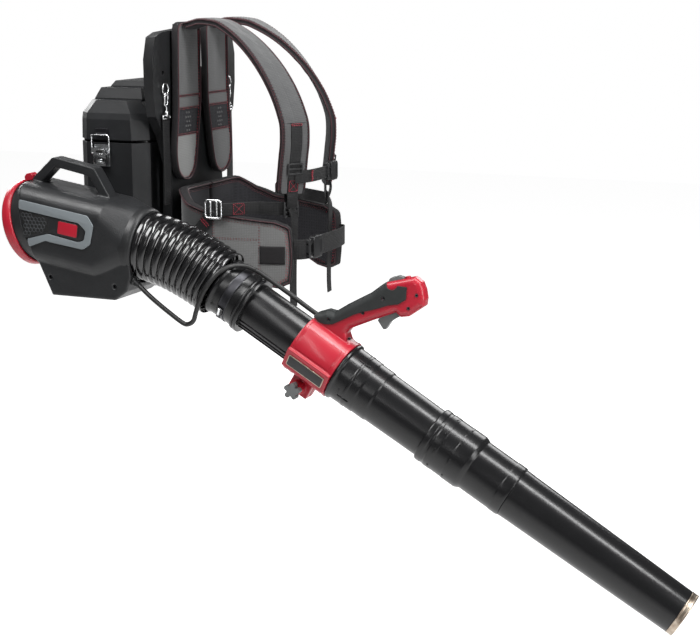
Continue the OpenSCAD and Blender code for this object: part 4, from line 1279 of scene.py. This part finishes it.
binding, sewing = [], []
for sx, _ in SIDES:
    edge = rounded([(sx * x * MM, z * MM) for x, z in PAD], 0.018, 6, True)
    ring = loop([Vector((x, PAD_EDGE_Y, z)) for x, z in edge], 0.003)
    middle = Vector((sx * PAD_MIDDLE[0], PAD_EDGE_Y, PAD_MIDDLE[1]))
    binding.append(strap(ring, Y, 13.5, 5.0, "bind", 2.2, True))
    row = []
    for p, t in zip(ring, tangents(ring, True)):
        inward = t.cross(Y)
        p = p + inward * math.copysign(0.0042, (middle - p).dot(inward))
        row.append(Vector((p.x, max(min(on_pad(p.x, p.z, 0.0006).y, -0.027), -0.033), p.z)))
    sewing.append(stitches(row + row[:1], [-Y] * (len(row) + 1), "thread", 3.4, 2.4, 0.45, 0.2))
    sewing.append(rope([Vector((p.x, -0.0288, p.z)) for p in ring], 1.1, "piping", 8, True))
    for (x0, z0), (x1, _) in PAD_ROWS:
        row = [on_pad(sx * (x0 + 2 + (x1 - x0 - 4) * k / 16) * MM, z0 * MM, 0.0004) for k in range(17)]
        binding.append(strap(row, Z, 4.5, 1.0, "bind"))
        for dz in (-1.5, 1.5):
            line = [p + Vector((0, -0.4, dz)) * MM for p in row]
            sewing.append(stitches(line, [-Y] * 17, "thread", 3.0, 2.4, 0.4, 0.3))
on_pack("pad_binding", binding)
on_pack("pad_stitching", sewing)

spots = []
for sx, _ in SIDES:
    for r in range(5):
        odd = r % 2
        for c in range(2 + odd):
            x = sx * 0.066 + (c - 1) * 0.0085 + (0 if odd else 0.00425)
            at = facing(on_pad(x, 0.299 + r * 0.0085, 0.0003), X, Z) @ move(z=0.4)
            spots.append(lathe([(0.02, 0.7), (1.7, 0.5), (2.2, -0.4)], at, "pad_grey", 10, raw=True))
on_pack("pad_air_mesh_dots", spots)


# ---- Harness: hip belt ----

# The belt's plan as out, forward, in three runs; its edges as forward, up
BELT = [(2, -33), (44, -33)]
BELT += [(84 + y, -93 + x) for x, y in circle(60, 36)[:10]]
BELT += [(144 - 32 * (k / 6) ** 2, -93 - 29.5 * k) for k in range(1, 7)]
BELT_TOP = [(0, 190), (-40, 188), (-70, 166), (-116, 150), (-240, 137), (-262, 128), (-276, 110)]
BELT_LOW = [(0, 96), (-60, 92), (-120, 66), (-220, 18), (-246, 14), (-266, 24), (-278, 50)]
BELT_SEAMS = [((-122, 40), (-122, 160)), ((-211, 10), (-211, 150)), ((-122, 104), (-211, 104))]
BELT_FRONT, PATCH_FROM = -0.2685, -0.238
DIAGONAL, UPHILL = Vector((0, 0.72, 0.69)), Vector((0, -0.69, 0.72))


def height(table, y):
    for (y0, z0), (y1, z1) in zip(table, table[1:]):
        if y1 <= y <= y0:
            return z0 + (z1 - z0) * (y - y0) / (y1 - y0)
    return table[-1][1]


def belt_hold(co):
    y, z = co[:, 1] / MM, co[:, 2] / MM
    top, low = (np.interp(-y, [-p[0] for p in edge], [p[1] for p in edge]) for edge in (BELT_TOP, BELT_LOW))
    edge = np.clip(1 - np.minimum(top - z, z - low) / 9.0, 0, 1)
    front = np.clip(1 - (y + 270) / 10.0, 0, 1)
    seams = near_lines(co[:, 1:3], BELT_SEAMS, 6.0) ** 0.6
    middle = np.clip(1 - np.abs(co[:, 0]) / 0.008, 0, 1)
    return np.maximum.reduce([edge ** 0.5, front, seams, middle])


class Wing:
    """One side of the hip belt: its cushion and the lines that run over it."""

    def __init__(self, sx, tag):
        self.sx = sx
        self.cushion = puffed("hip_belt_" + tag, "belt_grey", 5.0, belt_hold, 7.0)
        paint(self.cushion, ("belt_grey", "belt_mesh", "foam", "belt_rear"), self.choose)
        self.tree = surface_tree(self.cushion)
        plan = resample(spline(points([(x, y, 0) for x, y in BELT], sx), 6), 0.004)
        self.plan = [p for p in plan if p.y > BELT_FRONT]
        self.across = [t.cross(Z).normalized() for t in tangents(self.plan)]
        self.tip = (self.plan[-1] - self.plan[-2]).normalized()
        self.outline = self.edge()
        close = [self.nearest(lambda q: (q - p).xy.length_squared) for p in self.outline]
        self.edge_across = [self.across[i] for i in close]

    def choose(self, c, n):
        if n.dot(Vector((c.x - self.sx * 0.060, (c.y + 0.13) * 0.6, 0))) < 0:
            return 1
        if self.sx > 0:
            return 2
        # The near wing's rear panel gets the darker cloth, painted shade
        return 0 if c.y < -0.122 else 3

    def nearest(self, distance):
        return min(range(len(self.plan)), key=lambda k: distance(self.plan[k]))

    def edge(self):
        """Along the top, round the front end and back along the bottom."""
        top, low = ([Vector((p.x, p.y, height(table, p.y / MM) * MM)) for p in self.plan]
                    for table in (BELT_TOP, BELT_LOW))
        front = []
        for k in range(1, 12):
            bow = self.tip * (0.0045 * math.sin(math.pi * k / 12))
            front.append(top[-1].lerp(low[-1], k / 12) + bow)
        return resample(spline(top + front + low[::-1], 2), 0.003)

    def row(self, face, inset):
        """The outline moved inwards by inset mm onto one face, with the directions out of it."""
        line, normals = [], []
        for p, t, a in zip(self.outline, tangents(self.outline), self.edge_across):
            z = (height(BELT_TOP, p.y / MM) + height(BELT_LOW, p.y / MM)) / 2 * MM
            middle = Vector((p.x, p.y, z)) - self.tip * 0.02
            inward = a.cross(t).normalized()
            if inward.dot(middle - p) < 0:
                inward = -inward
            q, out = p + inward * inset * MM, a * face
            hit, _, _, far = self.tree.ray_cast(q + out * 0.03, -out)
            if inset and hit is not None and far < 0.03:
                line.append(hit)
            else:
                line.append(q + out * (0.0075 if inset else 0.0082))
            normals.append(out)
        return line, normals

    def surface(self, y, z, lift):
        """Point lift mm off the outer face, and the direction out of it."""
        i = self.nearest(lambda q: abs(q.y - y * MM) + (1 if q.y > -0.08 else 0))
        a = self.across[i]
        out = a if a.x * self.sx > 0 else -a
        p = Vector((self.plan[i].x, y * MM, z * MM))
        hit = self.tree.ray_cast(p + out * 0.04, -out)[0]
        return (hit or p + out * 0.0075) + out * lift * MM, out

    def stitching(self):
        parts = []
        for face in (-1, 1):
            parts.append(rope(self.row(face, 0)[0], 1.0, "piping", 8))
            for inset in (5.5, 8.6):
                line, normals = self.row(face, inset)
                front = [k for k, q in enumerate(line) if q.y < PATCH_FROM]
                a, b = front[0], front[-1] + 1
                for part, mat, lift in ((slice(a), "seam", 0.3), (slice(a, b), "thread", 0.5),
                                        (slice(b, None), "seam", 0.3)):
                    parts.append(stitches(line[part], normals[part], mat, 3.4, 2.4, 0.45, lift))
        for (y0, z0), (y1, z1) in BELT_SEAMS:
            upright = y0 == y1
            if upright:
                z0, z1 = max(z0, height(BELT_LOW, y0) + 8), min(z1, height(BELT_TOP, y0) - 8)
            for off in (-1.3, 1.3):
                dy, dz = (off, 0) if upright else (0, off)
                line = [self.surface(y0 + (y1 - y0) * k / 24 + dy, z0 + (z1 - z0) * k / 24 + dz, 0.1)
                        for k in range(25)]
                parts.append(stitches(*zip(*line), "seam", 3.0, 2.6, 0.4, 0.2))
        return parts

    def patch(self, rows=17, cols=11):
        """The bound patch at the belt's front end."""
        grid = [(i, j) for i in range(rows) for j in range(cols)]
        verts = [self.surface(-212 - 46 * i / 16, 58 + 34 * j / 10, 1.0)[0] for i, j in grid]
        corners = [i * cols + j for i, j in grid if i < rows - 1 and j < cols - 1]
        faces = [(a, a + cols, a + cols + 1, a + 1) for a in corners]
        ob = make(verts, faces, "bind", [(i * 0.003, j * 0.0034) for i, j in grid])
        solid = ob.modifiers.new("thick", "SOLIDIFY")
        solid.thickness, solid.offset = 0.0012, 0
        return applied(ob)

    def webbing(self):
        """From the wing's top to the steel buckle, then forward to the shoulder strap."""
        sx = self.sx
        on_wing = ((-84, 106, 1.2), (-94, 119, 1.4), (-104, 131, 1.6), (-111, 140, 2.4))
        rise = [self.surface(*p)[0] for p in on_wing] + points([(154.5, -118, 150), (155, -123.5, 157)], sx)
        rise = spline(rise)
        last = len(rise) - 1
        up = [DIAGONAL.lerp(Z, max(0.0, k / last - 0.55) * 2).normalized() for k in range(last + 1)]
        run = spline(points([(155, -129, 160), (154.5, -142, 160), (148, -154, 160.5), (135, -169, 161),
                             (112, -196, 161), (99, -226, 160), (90, -246, 159), (86, -254, 158)], sx))
        double = [p + Vector((sx * 0.0016, -0.0016, 0)) for p in run[6:len(run) // 2 + 6]]
        k = len(double) * 2 // 3
        ahead = double[k + 1] - double[k - 1]
        out = ahead.cross(Z).normalized()
        out = out if out.x * sx > 0 else -out
        parts = [strap(rise, up, 24), strap(run, Z), strap(double, Z, 24, 1.8),
                 bar_tack(double[k] + out * 0.0013, ahead, Z, out, 21, 20)]
        for off in (0, 3.2):
            at, out = self.surface(-104 - off, 132 + off, 2.9)
            parts.append(bar_tack(at, DIAGONAL, UPHILL, out, 21, 1.2, False))
        return parts


def steel_buckle(sx):
    place = move(sx * 155.5, -126, 160) @ turned(90, "Y") @ turned(90)
    rim = [place @ Vector((x * MM, y * MM, 0)) for x, y in rounded_box(34, 34, 6)]
    parts = [rope(loop(rim, 0.0012), 2.3, "chrome", 12, True)]
    for x in (-7.5, 5.5):
        bar = [place @ Vector((x * MM, y * MM, 0)) for y in range(-16, 17, 4)]
        parts.append(rope(bar, 1.9, "chrome", 12))
    return parts


HOOK_X, HOOK_Y = 130, -15.5
HOOK = [(0, 336), (0, 347), (5.5, 352), (6.2, 362), (4.5, 371), (-1, 373.5), (-5.5, 369), (-6, 362)]
GATE = [(1, 349), (-3.5, 353), (-6.2, 364)]
SWIVEL = [(0.1, -5), (3.4, -5), (4.0, -2), (4.0, 2), (2.6, 5), (0.1, 5)]


def snap_hook(sx):
    hoop = [Vector((sx * HOOK_X + x, HOOK_Y + 1, 381 + z)) * MM for x, z in circle(11, 40)]
    hook, gate = (spline(points([(HOOK_X + x, HOOK_Y, z) for x, z in rows], sx)) for rows in (HOOK, GATE))
    return [rope(hoop, 1.7, "chrome", 12, True), rope(hook, 1.9, "chrome", 12), rope(gate, 1.3, "chrome", 10),
            lathe(SWIVEL, move(sx * HOOK_X, HOOK_Y, 335), "chrome", 24, 0.6)]


for sx, tag in SIDES:
    wing = Wing(sx, tag)
    on_pack("hip_belt_cushion_" + tag, wing.cushion, "grey_fabric", "hip_belt_" + tag)
    on_pack("belt_binding_" + tag, strap(wing.outline, wing.edge_across, 16.0, 6.5, "bind", 3.0))
    on_pack("belt_stitching_" + tag, wing.stitching())
    on_pack("belt_patch_" + tag, wing.patch())
    on_pack("belt_webbing_" + tag, wing.webbing())
    hang = points([(130.5, -13.5, 160), (130.5, -15, 200), (130.5, -14.8, 260), (130.5, -14, 326),
                   (130.5, -15, 334)], sx)
    on_pack("hook_webbing_" + tag, strap(spline(hang), X, t=2.0))
    on_pack("belt_steel_buckle_" + tag, steel_buckle(sx), "bright_steel")
    on_pack("snap_hook_" + tag, snap_hook(sx), "bright_steel")
    eye = rounded([(-13, -4), (13, -4), (13, -10), (-13, -10)], 2, 4, True)
    eye = [Vector((sx * HOOK_X + x, HOOK_Y, 335 + z)) * MM for x, z in eye]
    on_pack("snap_hook_eye_" + tag, rope(loop(eye, 0.001), 1.4, "chrome", 10, True), "bright_steel")


# ---- Chest strap and buckles ----

CHEST_Z, WAIST_Z = 220.5, 85
CHEST = (((-89, -266), (-74, -276), (-62, -283), (-40, -286), (-10, -286.5), (18, -286), (24, -285)),
         ((48, -285), (56, -284), (66, -281), (78, -274), (90, -266)))
WAIST = (((-111, -272), (-104, -284), (-92, -292), (-80, -293)),
         ((-46, -293), (0, -293.5), (60, -293), (104, -285), (111, -272)))
# Outlines of a side-release buckle, as shares of its width and height
BUCKLE_BODY = [(-0.10, -0.5), (0.42, -0.5), (0.5, -0.36), (0.5, 0.36), (0.42, 0.5), (-0.10, 0.5),
               (-0.16, 0.36), (-0.16, -0.36)]
BUCKLE_ARM = [(-0.5, 0.30), (-0.30, 0.34), (-0.04, 0.50), (0.20, 0.53), (0.22, 0.36), (-0.10, 0.28),
              (-0.34, 0.16), (-0.5, 0.14)]


def level_webbing(rows, z, w, t):
    return [strap(spline(points([(x, y, z) for x, y in row])), Z, w, t) for row in rows]


def side_buckle(place, w, h, t):
    """A side-release buckle: a hollow body with two sprung arms."""
    body = rounded([(x * w, y * h) for x, y in BUCKLE_BODY], 2.5, 3, True)
    parts = [slab(body, t, place @ move(z=-t / 2), "shell", 1.2)]
    for s, _ in SIDES:
        arm = rounded([(x * w, s * y * h) for x, y in BUCKLE_ARM], 1.5, 3, True)
        parts.append(slab(arm, t * 0.7, place @ move(z=-t * 0.35), "tube", 0.8))
    parts.append(block((w * 0.16, h * 0.86, t * 0.8), place @ move(-w * 0.42), "shell", 1.0))
    for x in (0.30, 0.40):
        parts.append(block((1.4, h * 0.62, t + 1.2), place @ move(w * x), "shell", 0.4))
    return parts


chest = level_webbing(CHEST, CHEST_Z, 24.5, 2.0)
for x in (-52, -56):
    chest.append(bar_tack(Vector((x, -286.7, CHEST_Z)) * MM, Z, X, -Y, 21, 1.2, False))
on_pack("chest_strap_webbing", chest, "black_fabric", "chest_strap")
chest_at, waist_at = Vector((36, -285, CHEST_Z)) * MM, Vector((-64, -293, WAIST_Z)) * MM
on_pack("chest_buckle", side_buckle(facing(chest_at, X, Z), 46, 37, 12), "black_shell", "plastic_buckles")
on_pack("waist_buckle", side_buckle(facing(waist_at, X, Z), 62, 42, 12), "black_shell")
on_pack("waist_webbing", level_webbing(WAIST, WAIST_Z, 38, 2.2))
for name, node in (("belt_webbing_right", "webbing"), ("belt_steel_buckle_right", "belt_buckles"),
                   ("snap_hook_right", "snap_hooks")):
    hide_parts(node)


# ---- Last ----

scene.view_settings.view_transform = "Standard"
